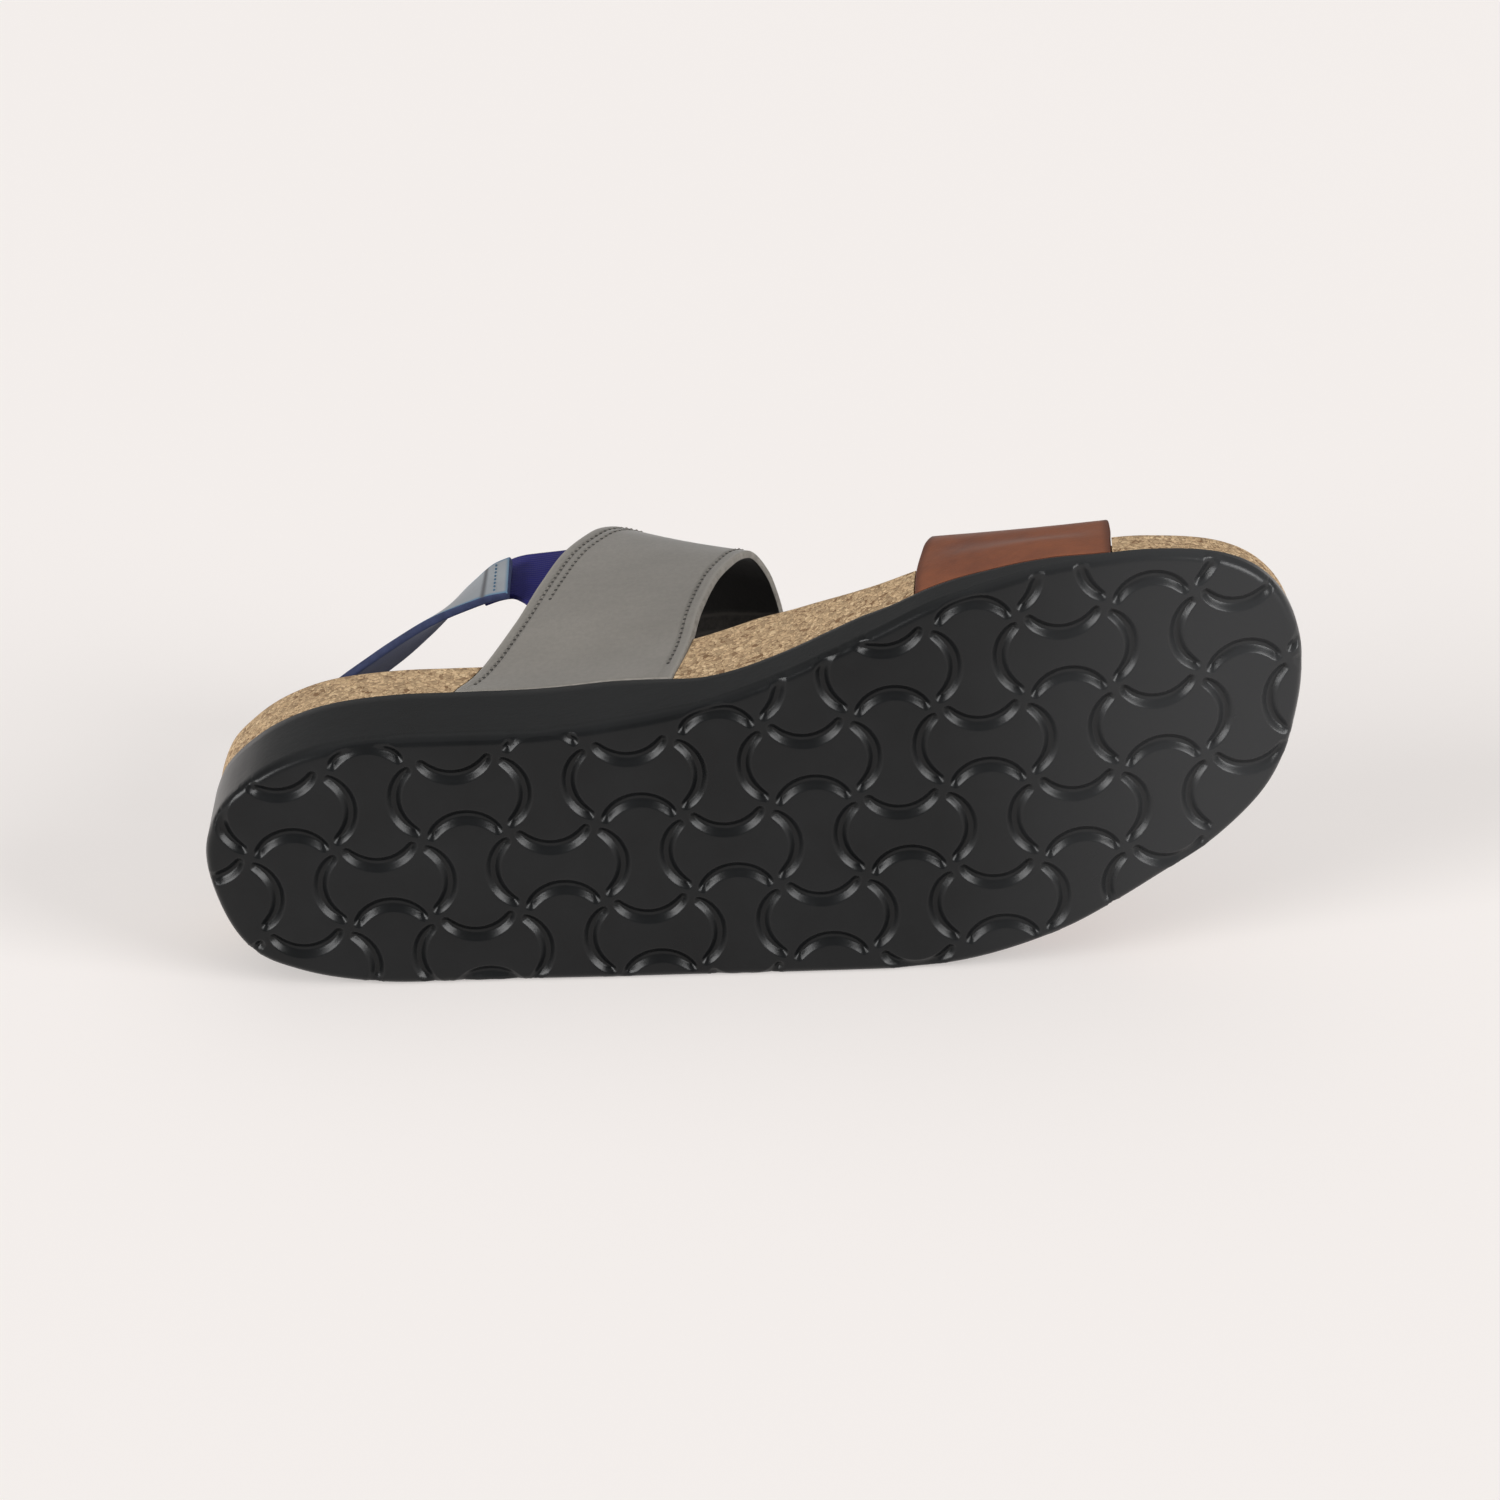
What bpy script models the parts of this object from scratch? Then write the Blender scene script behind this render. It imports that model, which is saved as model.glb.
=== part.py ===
"""Slingback sandal, left foot, lying on its outer side with the sole turned to the front.

The sandal is modelled upright: x runs from the heel to the toe, y to the outer (little toe)
side and z up from the ground. The stand at the end lays it on its outer side.
"""

import math

import bmesh
import bpy
import numpy as np
from mathutils import Matrix, Vector
from mathutils.bvhtree import BVHTree

# Driving sizes, in metres
SOLE_LENGTH = 0.255
BALL_WIDTH = 0.095
RIM_HEIGHT = 0.0385
INSTEP_HEIGHT = 0.1115
TOE_STRAP_HEIGHT = 0.0595
STRAP_THICKNESS = 0.0020
TOE_STRAP_THICKNESS = 0.0020
SLING_THICKNESS = 0.0020
SLING_WIDTH = 0.0185
ELASTIC_WIDTH = 0.0215
ELASTIC_THICKNESS = 0.0014
INSOLE_THICKNESS = 0.0015
BED_STEP = 0.0018
FIT_GAP = 0.0003
TUCK_GAP = 0.0010
RIM_WIDTH = 0.0042
CORK_STEP = 0.0005

# Tread: crescent grooves on a square net, turned a little against the sole
TREAD_PITCH_ALONG = 0.0200
TREAD_PITCH_ACROSS = 0.0205
TREAD_START_X = 0.0326
TREAD_START_Y = -0.0215
TREAD_TURN = math.radians(6.1)
TREAD_DEPTH = 0.0015
CRESCENT_INNER_RISE = 0.0036
CRESCENT_OUTER_RISE = 0.0070
CRESCENT_END = 0.0026
CRESCENT_STEPS = 5

# Smoothness of the faceted solids
SOLE_STATIONS = 44
STRAP_STEPS = 32
STRAP_COLUMNS = 6
ACROSS_STEPS = 8

# Outline. Columns: along as share of SOLE_LENGTH, inner side and outer side as share of BALL_WIDTH
OUTLINE = (
    (0.0000, -0.010, 0.045),
    (0.0040, -0.072, 0.132),
    (0.0120, -0.116, 0.196),
    (0.0275, -0.174, 0.251),
    (0.0470, -0.211, 0.286),
    (0.0745, -0.248, 0.326),
    (0.1100, -0.272, 0.363),
    (0.1412, -0.278, 0.387),
    (0.1960, -0.266, 0.415),
    (0.2431, -0.243, 0.439),
    (0.3216, -0.206, 0.481),
    (0.3960, -0.193, 0.519),
    (0.4510, -0.193, 0.548),
    (0.4980, -0.205, 0.572),
    (0.5490, -0.231, 0.598),
    (0.5922, -0.261, 0.618),
    (0.6392, -0.295, 0.629),
    (0.6863, -0.333, 0.623),
    (0.7450, -0.357, 0.594),
    (0.7960, -0.367, 0.549),
    (0.8392, -0.359, 0.504),
    (0.8824, -0.343, 0.460),
    (0.9255, -0.306, 0.392),
    (0.9490, -0.274, 0.340),
    (0.9686, -0.233, 0.268),
    (0.9824, -0.188, 0.188),
    (0.9922, -0.137, 0.116),
    (0.9980, -0.081, 0.046),
    (1.0000, -0.036, 0.008),
)

# Underside. Columns: along as share of SOLE_LENGTH, lift off the ground as share of RIM_HEIGHT
UNDERSIDE = (
    (0.0000, 0.034),
    (0.0300, 0.012),
    (0.0750, 0.000),
    (0.7450, 0.000),
    (0.8040, 0.020),
    (0.8630, 0.056),
    (0.9220, 0.106),
    (0.9700, 0.165),
    (1.0000, 0.210),
)

# Side. Columns: along as share of SOLE_LENGTH, then as shares of RIM_HEIGHT the top of the black
# sole, the cork's edge on the inner side, on the outer side, and the depth of the foot's bed
SIDE = (
    (0.000, 0.640, 1.000, 1.000, 0.13),
    (0.100, 0.636, 1.010, 0.985, 0.18),
    (0.200, 0.634, 0.995, 0.950, 0.17),
    (0.290, 0.640, 1.000, 0.905, 0.14),
    (0.375, 0.612, 0.990, 0.850, 0.12),
    (0.415, 0.550, 0.985, 0.820, 0.11),
    (0.445, 0.470, 0.980, 0.790, 0.11),
    (0.475, 0.385, 0.980, 0.760, 0.11),
    (0.515, 0.345, 0.975, 0.715, 0.11),
    (0.565, 0.335, 0.875, 0.650, 0.10),
    (0.615, 0.335, 0.745, 0.585, 0.09),
    (0.660, 0.275, 0.640, 0.530, 0.09),
    (0.710, 0.252, 0.545, 0.480, 0.08),
    (0.755, 0.208, 0.475, 0.440, 0.08),
    (0.800, 0.160, 0.410, 0.405, 0.08),
    (0.840, 0.130, 0.368, 0.372, 0.08),
    (0.885, 0.150, 0.372, 0.372, 0.07),
    (0.925, 0.205, 0.410, 0.410, 0.06),
    (0.965, 0.275, 0.465, 0.465, 0.05),
    (1.000, 0.340, 0.515, 0.515, 0.04),
)

# Instep strap, from the inner base over the instep to the outer base. Columns for the rear edge
# and then the front edge: along (SOLE_LENGTH), across (BALL_WIDTH), up (INSTEP_HEIGHT)
INSTEP_STRAP = (
    (0.243, -0.242, 0.224, 0.443, -0.193, 0.167),
    (0.263, -0.232, 0.305, 0.460, -0.200, 0.309),
    (0.298, -0.244, 0.498, 0.472, -0.214, 0.448),
    (0.322, -0.263, 0.639, 0.487, -0.214, 0.581),
    (0.342, -0.269, 0.757, 0.505, -0.205, 0.679),
    (0.368, -0.259, 0.862, 0.518, -0.179, 0.740),
    (0.392, -0.216, 0.940, 0.526, -0.126, 0.776),
    (0.410, -0.126, 0.991, 0.532, -0.053, 0.794),
    (0.416, -0.011, 1.000, 0.534, 0.032, 0.798),
    (0.412, 0.126, 0.969, 0.533, 0.147, 0.776),
    (0.400, 0.263, 0.883, 0.527, 0.274, 0.717),
    (0.380, 0.379, 0.753, 0.518, 0.400, 0.623),
    (0.353, 0.458, 0.592, 0.504, 0.500, 0.502),
    (0.325, 0.481, 0.448, 0.488, 0.553, 0.377),
    (0.294, 0.467, 0.341, 0.474, 0.560, 0.269),
    (0.267, 0.453, 0.224, 0.463, 0.554, 0.148),
)

# Toe strap, in the same order; up is a share of TOE_STRAP_HEIGHT
TOE_STRAP = (
    (0.673, -0.322, 0.175, 0.851, -0.356, 0.085),
    (0.677, -0.328, 0.365, 0.853, -0.351, 0.240),
    (0.686, -0.326, 0.580, 0.854, -0.337, 0.430),
    (0.693, -0.305, 0.731, 0.854, -0.300, 0.560),
    (0.698, -0.232, 0.882, 0.853, -0.216, 0.690),
    (0.698, -0.105, 0.975, 0.849, -0.095, 0.765),
    (0.692, 0.042, 1.000, 0.843, 0.032, 0.782),
    (0.682, 0.189, 0.966, 0.835, 0.147, 0.756),
    (0.669, 0.337, 0.874, 0.827, 0.263, 0.689),
    (0.651, 0.474, 0.731, 0.820, 0.368, 0.580),
    (0.633, 0.574, 0.555, 0.812, 0.453, 0.445),
    (0.616, 0.615, 0.378, 0.806, 0.511, 0.294),
    (0.602, 0.619, 0.220, 0.802, 0.542, 0.110),
)

# Heel sling. Columns: along (SOLE_LENGTH), across (BALL_WIDTH), up (INSTEP_HEIGHT) of the middle
# of its outer face, lean towards the foot in degrees, width as share of SLING_WIDTH
HEEL_SLING = (
    (0.292, -0.269, 0.698, -2, 1.06),
    (0.278, -0.267, 0.696, 0, 1.03),
    (0.252, -0.249, 0.686, 6, 0.98),
    (0.219, -0.216, 0.674, 14, 0.98),
    (0.190, -0.178, 0.668, 17, 0.98),
    (0.160, -0.138, 0.664, 17, 0.98),
    (0.126, -0.095, 0.661, 17, 0.98),
    (0.090, -0.044, 0.660, 16, 1.00),
    (0.064, 0.011, 0.662, 14, 1.00),
    (0.055, 0.068, 0.664, 12, 1.00),
    (0.062, 0.130, 0.666, 12, 1.00),
    (0.085, 0.195, 0.667, 12, 1.00),
    (0.125, 0.260, 0.669, 12, 1.00),
    (0.175, 0.312, 0.672, 11, 1.00),
    (0.235, 0.352, 0.677, 12, 1.00),
    (0.300, 0.376, 0.682, 15, 1.00),
    (0.345, 0.381, 0.686, 19, 1.00),
    (0.385, 0.374, 0.690, 23, 1.00),
)

# Elastic. The same columns; the last is a share of ELASTIC_WIDTH
SLING_ELASTIC = (
    (0.264, -0.226, 0.738, 1, 0.80),
    (0.280, -0.232, 0.748, -1, 0.84),
    (0.291, -0.235, 0.750, -2, 0.90),
    (0.312, -0.232, 0.724, -4, 1.16),
    (0.352, -0.225, 0.718, -3, 1.24),
)

# Materials. Columns: name, base colour, roughness
MATERIALS = {
    "outsole": ("rubber_black", (0.020, 0.020, 0.022), 0.45),
    "footbed": ("cork", (0.480, 0.300, 0.150), 0.85),
    "insole": ("lining_black", (0.012, 0.011, 0.010), 0.80),
    "instep_strap": ("nubuck_gray", (0.240, 0.225, 0.205), 0.80),
    "toe_strap": ("leather_brown", (0.240, 0.085, 0.045), 0.45),
    "heel_sling": ("leather_blue_gray", (0.230, 0.260, 0.310), 0.60),
    "sling_elastic": ("elastic_navy", (0.022, 0.022, 0.150), 0.75),
}


def slopes(xs, ys):
    """Slopes of a smooth curve through the points that never swings past them."""
    steps = np.diff(xs)
    rises = np.diff(ys) / steps
    found = np.zeros(len(xs))
    for i in range(1, len(xs) - 1):
        if rises[i - 1] * rises[i] > 0:
            a = 2 * steps[i] + steps[i - 1]
            b = steps[i] + 2 * steps[i - 1]
            found[i] = (a + b) / (a / rises[i - 1] + b / rises[i])
    found[0] = rises[0]
    found[-1] = rises[-1]
    return found


def smooth(xs, ys, at):
    """The smooth curve's value; past either end it goes on along the end's slope."""
    xs = np.asarray(xs, float)
    ys = np.asarray(ys, float)
    d = slopes(xs, ys)
    if at <= xs[0]:
        return float(ys[0] + d[0] * (at - xs[0]))
    if at >= xs[-1]:
        return float(ys[-1] + d[-1] * (at - xs[-1]))
    i = int(np.searchsorted(xs, at) - 1)
    h = xs[i + 1] - xs[i]
    k = (at - xs[i]) / h
    start = (1 + 2 * k) * (1 - k) ** 2 * ys[i] + k * (1 - k) ** 2 * h * d[i]
    end = k * k * (3 - 2 * k) * ys[i + 1] + k * k * (k - 1) * h * d[i + 1]
    return float(start + end)


def column(table, index):
    return [row[index] for row in table]


def inner_side(share):
    share = min(max(share, 0.0), 1.0)
    return BALL_WIDTH * smooth(column(OUTLINE, 0), column(OUTLINE, 1), share)


def outer_side(share):
    share = min(max(share, 0.0), 1.0)
    return BALL_WIDTH * smooth(column(OUTLINE, 0), column(OUTLINE, 2), share)


def lift(share):
    """How far the underside is off the ground, straight between the table's rows."""
    return RIM_HEIGHT * float(np.interp(share, column(UNDERSIDE, 0), column(UNDERSIDE, 1)))


def side(share, index):
    return RIM_HEIGHT * smooth(column(SIDE, 0), column(SIDE, index), share)


def stations(count):
    """Shares of the length, closer together at the two round ends."""
    found = []
    for i in range(count + 1):
        k = i / count
        found.append(0.5 - 0.5 * math.cos(math.pi * k) * (1 - 0.25 * math.sin(math.pi * k) ** 2))
    return found


def new_object(name, points, faces):
    mesh = bpy.data.meshes.new(name)
    mesh.from_pydata([tuple(p) for p in points], [], faces)
    obj = bpy.data.objects.new(name, mesh)
    bpy.context.scene.collection.objects.link(obj)
    body = bmesh.new()
    body.from_mesh(mesh)
    bmesh.ops.recalc_face_normals(body, faces=body.faces)
    body.to_mesh(mesh)
    body.free()
    return obj


def solid_sheet(name, outer, inner):
    """A closed sheet between two grids of points with the same rows and columns."""
    rows = len(outer)
    cols = len(outer[0])
    points = [p for grid in (outer, inner) for row in grid for p in row]

    def at(layer, i, j):
        return layer * rows * cols + i * cols + j

    faces = []
    for i in range(rows - 1):
        for j in range(cols - 1):
            faces.append([at(0, i, j), at(0, i + 1, j), at(0, i + 1, j + 1), at(0, i, j + 1)])
            faces.append([at(1, i, j), at(1, i, j + 1), at(1, i + 1, j + 1), at(1, i + 1, j)])
    for i in range(rows - 1):
        faces.append([at(0, i, 0), at(1, i, 0), at(1, i + 1, 0), at(0, i + 1, 0)])
        last = cols - 1
        faces.append([at(0, i, last), at(0, i + 1, last), at(1, i + 1, last), at(1, i, last)])
    for j in range(cols - 1):
        faces.append([at(0, 0, j), at(0, 0, j + 1), at(1, 0, j + 1), at(1, 0, j)])
        last = rows - 1
        faces.append([at(0, last, j), at(1, last, j), at(1, last, j + 1), at(0, last, j + 1)])
    return new_object(name, points, faces)


def grid_normals(grid):
    """Unit normals of a grid of points."""
    points = np.array([[tuple(p) for p in row] for row in grid])
    along = np.gradient(points, axis=0)
    across = np.gradient(points, axis=1)
    normals = np.cross(along, across)
    return normals / np.linalg.norm(normals, axis=2, keepdims=True)


def offset_grid(grid, normals, distance):
    points = np.array([[tuple(p) for p in row] for row in grid])
    moved = points + normals * distance
    return [[Vector(p) for p in row] for row in moved]


def boolean(obj, cutter):
    """Cuts the cutter out of the object and takes the cutter away."""
    modifier = obj.modifiers.new("cut", "BOOLEAN")
    modifier.operation = "DIFFERENCE"
    modifier.solver = "EXACT"
    modifier.use_self = True
    modifier.object = cutter
    graph = bpy.context.evaluated_depsgraph_get()
    graph.update()
    cut = bpy.data.meshes.new_from_object(obj.evaluated_get(graph))
    obj.modifiers.clear()
    obj.data = cut
    cut.name = obj.name
    bpy.data.objects.remove(cutter)


def joined(name, parts):
    """One mesh object from several, used for the cutters."""
    body = bmesh.new()
    for part in parts:
        body.from_mesh(part.data)
        bpy.data.objects.remove(part)
    mesh = bpy.data.meshes.new(name)
    body.to_mesh(mesh)
    body.free()
    obj = bpy.data.objects.new(name, mesh)
    bpy.context.scene.collection.objects.link(obj)
    return obj


def sole_blank():
    """The black sole before the tread: flat underside, and the wedge's profile on top."""
    shares = stations(SOLE_STATIONS)
    points = []
    for share in shares:
        x = share * SOLE_LENGTH
        top = side(share, 1)
        for y in (inner_side(share), outer_side(share)):
            points.append((x, y, 0.0))
            points.append((x, y, top - lift(share)))
    last = 4 * (len(shares) - 1)
    faces = [[0, 1, 3, 2], [last, last + 2, last + 3, last + 1]]
    for i in range(len(shares) - 1):
        a = 4 * i
        b = a + 4
        faces.append([a, b, b + 1, a + 1])
        faces.append([a + 2, a + 3, b + 3, b + 2])
        faces.append([a + 1, b + 1, b + 3, a + 3])
    inner_row = [4 * i for i in range(len(shares))]
    outer_row = [4 * i + 2 for i in reversed(range(len(shares)))]
    faces.append(inner_row + outer_row)
    return new_object("outsole", points, faces)


def net_point(i, j):
    """Where row j of the tread's net crosses its column i."""
    u = i * TREAD_PITCH_ALONG
    v = j * TREAD_PITCH_ACROSS
    c = math.cos(TREAD_TURN)
    s = math.sin(TREAD_TURN)
    return Vector((TREAD_START_X + u * c - v * s, TREAD_START_Y + u * s + v * c, 0.0))


def crescent(start, end, bulge):
    """A crescent-shaped cutter between two points of the net, bulging to one side."""
    run = (end - start).normalized()
    length = (end - start).length - 2 * CRESCENT_END
    first = start + run * CRESCENT_END
    rim = []
    for k in range(CRESCENT_STEPS + 1):
        share = k / CRESCENT_STEPS
        rise = CRESCENT_OUTER_RISE * (1 - (2 * share - 1) ** 2)
        rim.append(first + run * length * share + bulge * rise)
    for k in range(CRESCENT_STEPS - 1, 0, -1):
        share = k / CRESCENT_STEPS
        rise = CRESCENT_INNER_RISE * (1 - (2 * share - 1) ** 2)
        rim.append(first + run * length * share + bulge * rise)
    n = len(rim)
    points = [p + Vector((0, 0, -0.004)) for p in rim] + [p + Vector((0, 0, TREAD_DEPTH)) for p in rim]
    faces = [list(range(n)), list(range(2 * n - 1, n - 1, -1))]
    for k in range(n):
        after = (k + 1) % n
        faces.append([k, after, after + n, k + n])
    return new_object("crescent", points, faces)


def near_sole(a, b):
    """Whether the middle between two points of the net is on the sole or close to its edge."""
    middle = (a + b) / 2
    share = middle.x / SOLE_LENGTH
    if share < 0.005 or share > 0.995:
        return False
    room = 0.0045
    return inner_side(share) - room < middle.y < outer_side(share) + room


def tread_cutter():
    parts = []
    for i in range(-3, 14):
        for j in range(-3, 6):
            here = net_point(i, j)
            along = net_point(i + 1, j)
            across = net_point(i, j + 1)
            sign = 1 if (i + j) % 2 == 0 else -1
            towards_toe = (along - here).normalized()
            towards_outer = (across - here).normalized()
            if near_sole(here, along):
                parts.append(crescent(here, along, -sign * towards_outer))
            if near_sole(here, across):
                parts.append(crescent(here, across, sign * towards_toe))
    return joined("tread_cutter", parts)


def bend_underside(obj):
    """Bends the flat sole up at the toe and the heel, after a cut at every bend."""
    body = bmesh.new()
    body.from_mesh(obj.data)
    for share, _ in UNDERSIDE[1:-1]:
        geometry = body.verts[:] + body.edges[:] + body.faces[:]
        place = Vector((share * SOLE_LENGTH, 0, 0))
        bmesh.ops.bisect_plane(body, geom=geometry, dist=1e-6, plane_co=place, plane_no=(1, 0, 0))
    for vertex in body.verts:
        vertex.co.z += lift(vertex.co.x / SOLE_LENGTH)
    bmesh.ops.remove_doubles(body, verts=body.verts, dist=2e-6)
    bmesh.ops.dissolve_degenerate(body, edges=body.edges, dist=2e-6)
    bmesh.ops.triangulate(body, faces=body.faces)
    body.to_mesh(obj.data)
    body.free()


def make_outsole():
    obj = sole_blank()
    boolean(obj, tread_cutter())
    bend_underside(obj)
    return obj


def bed_point(share, v, margin, step):
    """A point of the foot's bed: v runs from -1 at the inner edge to 1 at the outer edge."""
    along = (margin + (SOLE_LENGTH - 2 * margin) * share) / SOLE_LENGTH
    inner = inner_side(share)
    outer = outer_side(share)
    middle = (inner + outer) / 2
    half = max((outer - inner) / 2 - margin, 0.0010)
    k = (v + 1) / 2
    rim = side(along, 2) * (1 - k) + side(along, 3) * k
    ends = min(1.0, share / 0.10, (1 - share) / 0.12)
    bowl = (1 - abs(v) ** 2.6) * math.sin(0.5 * math.pi * ends)
    depth = side(along, 4) * bowl
    return Vector((along * SOLE_LENGTH, middle + half * v, rim - depth - step))


def make_footbed():
    """The cork wedge, with the foot's bed sunk into its top."""
    shares = stations(SOLE_STATIONS)
    across = [-1 + 2 * k / ACROSS_STEPS for k in range(ACROSS_STEPS + 1)]
    loops = []
    for share in shares:
        x = CORK_STEP + share * (SOLE_LENGTH - 2 * CORK_STEP)
        inner = inner_side(share) + CORK_STEP
        outer = max(outer_side(share) - CORK_STEP, inner + 0.0010)
        low = side(x / SOLE_LENGTH, 1) + FIT_GAP
        loop = [Vector((x, inner, low)), Vector((x, inner, side(x / SOLE_LENGTH, 2)))]
        loop.append(bed_point(share, -1, RIM_WIDTH - FIT_GAP, 0))
        loop += [bed_point(share, v, RIM_WIDTH, BED_STEP) for v in across]
        loop.append(bed_point(share, 1, RIM_WIDTH - FIT_GAP, 0))
        loop += [Vector((x, outer, side(x / SOLE_LENGTH, 3))), Vector((x, outer, low))]
        loops.append(loop)
    n = len(loops[0])
    points = [p for loop in loops for p in loop]
    faces = []
    for i in range(len(loops) - 1):
        for k in range(n):
            after = (k + 1) % n
            faces.append([i * n + k, i * n + after, (i + 1) * n + after, (i + 1) * n + k])
    for base in (0, (len(loops) - 1) * n):
        faces.append([base, base + 1, base + n - 2, base + n - 1])
        faces.append([base + 1, base + 2, base + n - 3, base + n - 2])
        faces.append([base + k for k in range(2, n - 2)])
    obj = new_object("footbed", points, faces)
    cutters = []
    for table, height, thick in (
        (INSTEP_STRAP, INSTEP_HEIGHT, STRAP_THICKNESS),
        (TOE_STRAP, TOE_STRAP_HEIGHT, TOE_STRAP_THICKNESS),
    ):
        for end in (0, 1):
            cutters.append(pocket_cutter(table, height, thick, end))
    boolean(obj, joined("pocket_cutter", cutters))
    body = bmesh.new()
    body.from_mesh(obj.data)
    bmesh.ops.dissolve_degenerate(body, edges=body.edges, dist=2e-6)
    bmesh.ops.triangulate(body, faces=body.faces)
    body.to_mesh(obj.data)
    body.free()
    return obj


def make_insole():
    """The black lining sheet in the foot's bed."""
    margin = RIM_WIDTH + 0.0006
    shares = stations(SOLE_STATIONS)
    across = [-1 + 2 * k / ACROSS_STEPS for k in range(ACROSS_STEPS + 1)]
    low = []
    high = []
    for share in shares:
        row = [bed_point(share, v, margin, BED_STEP) for v in across]
        low.append([p + Vector((0, 0, 2 * FIT_GAP)) for p in row])
        high.append([p + Vector((0, 0, 2 * FIT_GAP + INSOLE_THICKNESS)) for p in row])
    return solid_sheet("insole", high, low)


def strap_point(table, height, u, v):
    """A point of a strap's outer face: u from its rear to its front edge, v along the arch."""
    rows = [(r[0] + r[3], r[1] + r[4], r[2] + r[5]) for r in table]
    steps = [0.0]
    for a, b in zip(rows, rows[1:]):
        size = (SOLE_LENGTH * (b[0] - a[0]), BALL_WIDTH * (b[1] - a[1]), height * (b[2] - a[2]))
        steps.append(steps[-1] + math.sqrt(sum(k * k for k in size)))
    place = [k / steps[-1] for k in steps]
    scale = (SOLE_LENGTH, BALL_WIDTH, height)
    rear = [scale[k] * smooth(place, column(table, k), v) for k in range(3)]
    front = [scale[k] * smooth(place, column(table, k + 3), v) for k in range(3)]
    point = [a + (b - a) * u for a, b in zip(rear, front)]
    edge = inner_side if v < 0.5 else outer_side
    chord = (1 - u) * edge(rear[0] / SOLE_LENGTH) + u * edge(front[0] / SOLE_LENGTH)
    share = point[0] / SOLE_LENGTH
    rim = side(share, 2 if v < 0.5 else 3)
    fade = min(max((1.6 * rim - point[2]) / (0.6 * rim), 0.0), 1.0)
    point[1] += (edge(share) - chord) * fade * fade * (3 - 2 * fade)
    return point


def strap_grid(table, height, us, vs):
    """The strap's outer face. Its two ends stand on the seam between cork and black sole."""
    grid = []
    for v in vs:
        row = []
        for u in us:
            x, y, z = strap_point(table, height, u, v)
            foot = side(x / SOLE_LENGTH, 1) + 2 * FIT_GAP
            row.append(Vector((x, y, foot if v in (0, 1) else max(z, foot))))
        grid.append(row)
    return grid


def make_strap(name, table, height, thickness):
    us = [k / STRAP_COLUMNS for k in range(STRAP_COLUMNS + 1)]
    vs = [k / STRAP_STEPS for k in range(STRAP_STEPS + 1)]
    outer = strap_grid(table, height, us, vs)
    normals = outward(outer)
    shell = offset_grid(outer, normals, -FIT_GAP)
    inner = offset_grid(outer, normals, -FIT_GAP - thickness)
    for grid in (shell, inner):
        for i in (0, -1):
            for point in grid[i]:
                point.z = side(point.x / SOLE_LENGTH, 1) + 2 * FIT_GAP
    return solid_sheet(name, shell, inner)


def outward(grid):
    """Normals of an arch's grid that point away from the foot."""
    normals = grid_normals(grid)
    middle = len(grid) // 2
    if normals[middle][0][2] < 0:
        normals = -normals
    return normals


def pocket_cutter(table, height, thickness, end):
    """What is taken out of the cork's side so that the end of a strap lies flush in it."""
    spare = 0.0004 / SOLE_LENGTH
    reach = 0.26
    vs = [reach * k / 9 for k in range(10)]
    if end:
        vs = [1 - v for v in reversed(vs)]
    width = abs(table[0][3] - table[0][0])
    extra = spare / width
    us = [-extra + (1 + 2 * extra) * k / STRAP_COLUMNS for k in range(STRAP_COLUMNS + 1)]
    face = strap_grid(table, height, us, vs)
    normals = grid_normals(face)
    side_sign = 1 if end else -1
    if normals[4][0][1] * side_sign < 0:
        normals = -normals
    outer = offset_grid(face, normals, 0.004)
    inner = offset_grid(face, normals, -2 * FIT_GAP - thickness)
    below = Vector((0, 0, -0.003))
    for grid in (outer, inner):
        row = [point + below for point in grid[-1 if end else 0]]
        grid.insert(len(grid) if end else 0, row)
    return solid_sheet("pocket", outer, inner)


def tuck(grid, over, outer_end):
    """Moves the points of a band's end that lie under a strap to just below its inner face."""
    points = [vertex.co.copy() for vertex in over.data.vertices]
    tree = BVHTree.FromPolygons(points, [list(face.vertices) for face in over.data.polygons])
    reach = 0.012
    for row in grid:
        for point in row:
            if (point.y > 0) != outer_end:
                continue
            inward = inward_of(point)
            under = tree.ray_cast(point + inward * 0.025, -inward, 0.040)[0]
            near = tree.find_nearest(point)[0]
            away = (near - point).length
            face = under or near
            weight = 1.0 if under else max(0.0, 1.0 - away / reach)
            gap = (point - face).dot(inward)
            point += inward * max(0.0, TUCK_GAP - gap) * weight


def inward_of(point):
    """The level direction from a point towards the foot."""
    return Vector((0, -1 if point.y > 0 else 1, 0))


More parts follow.
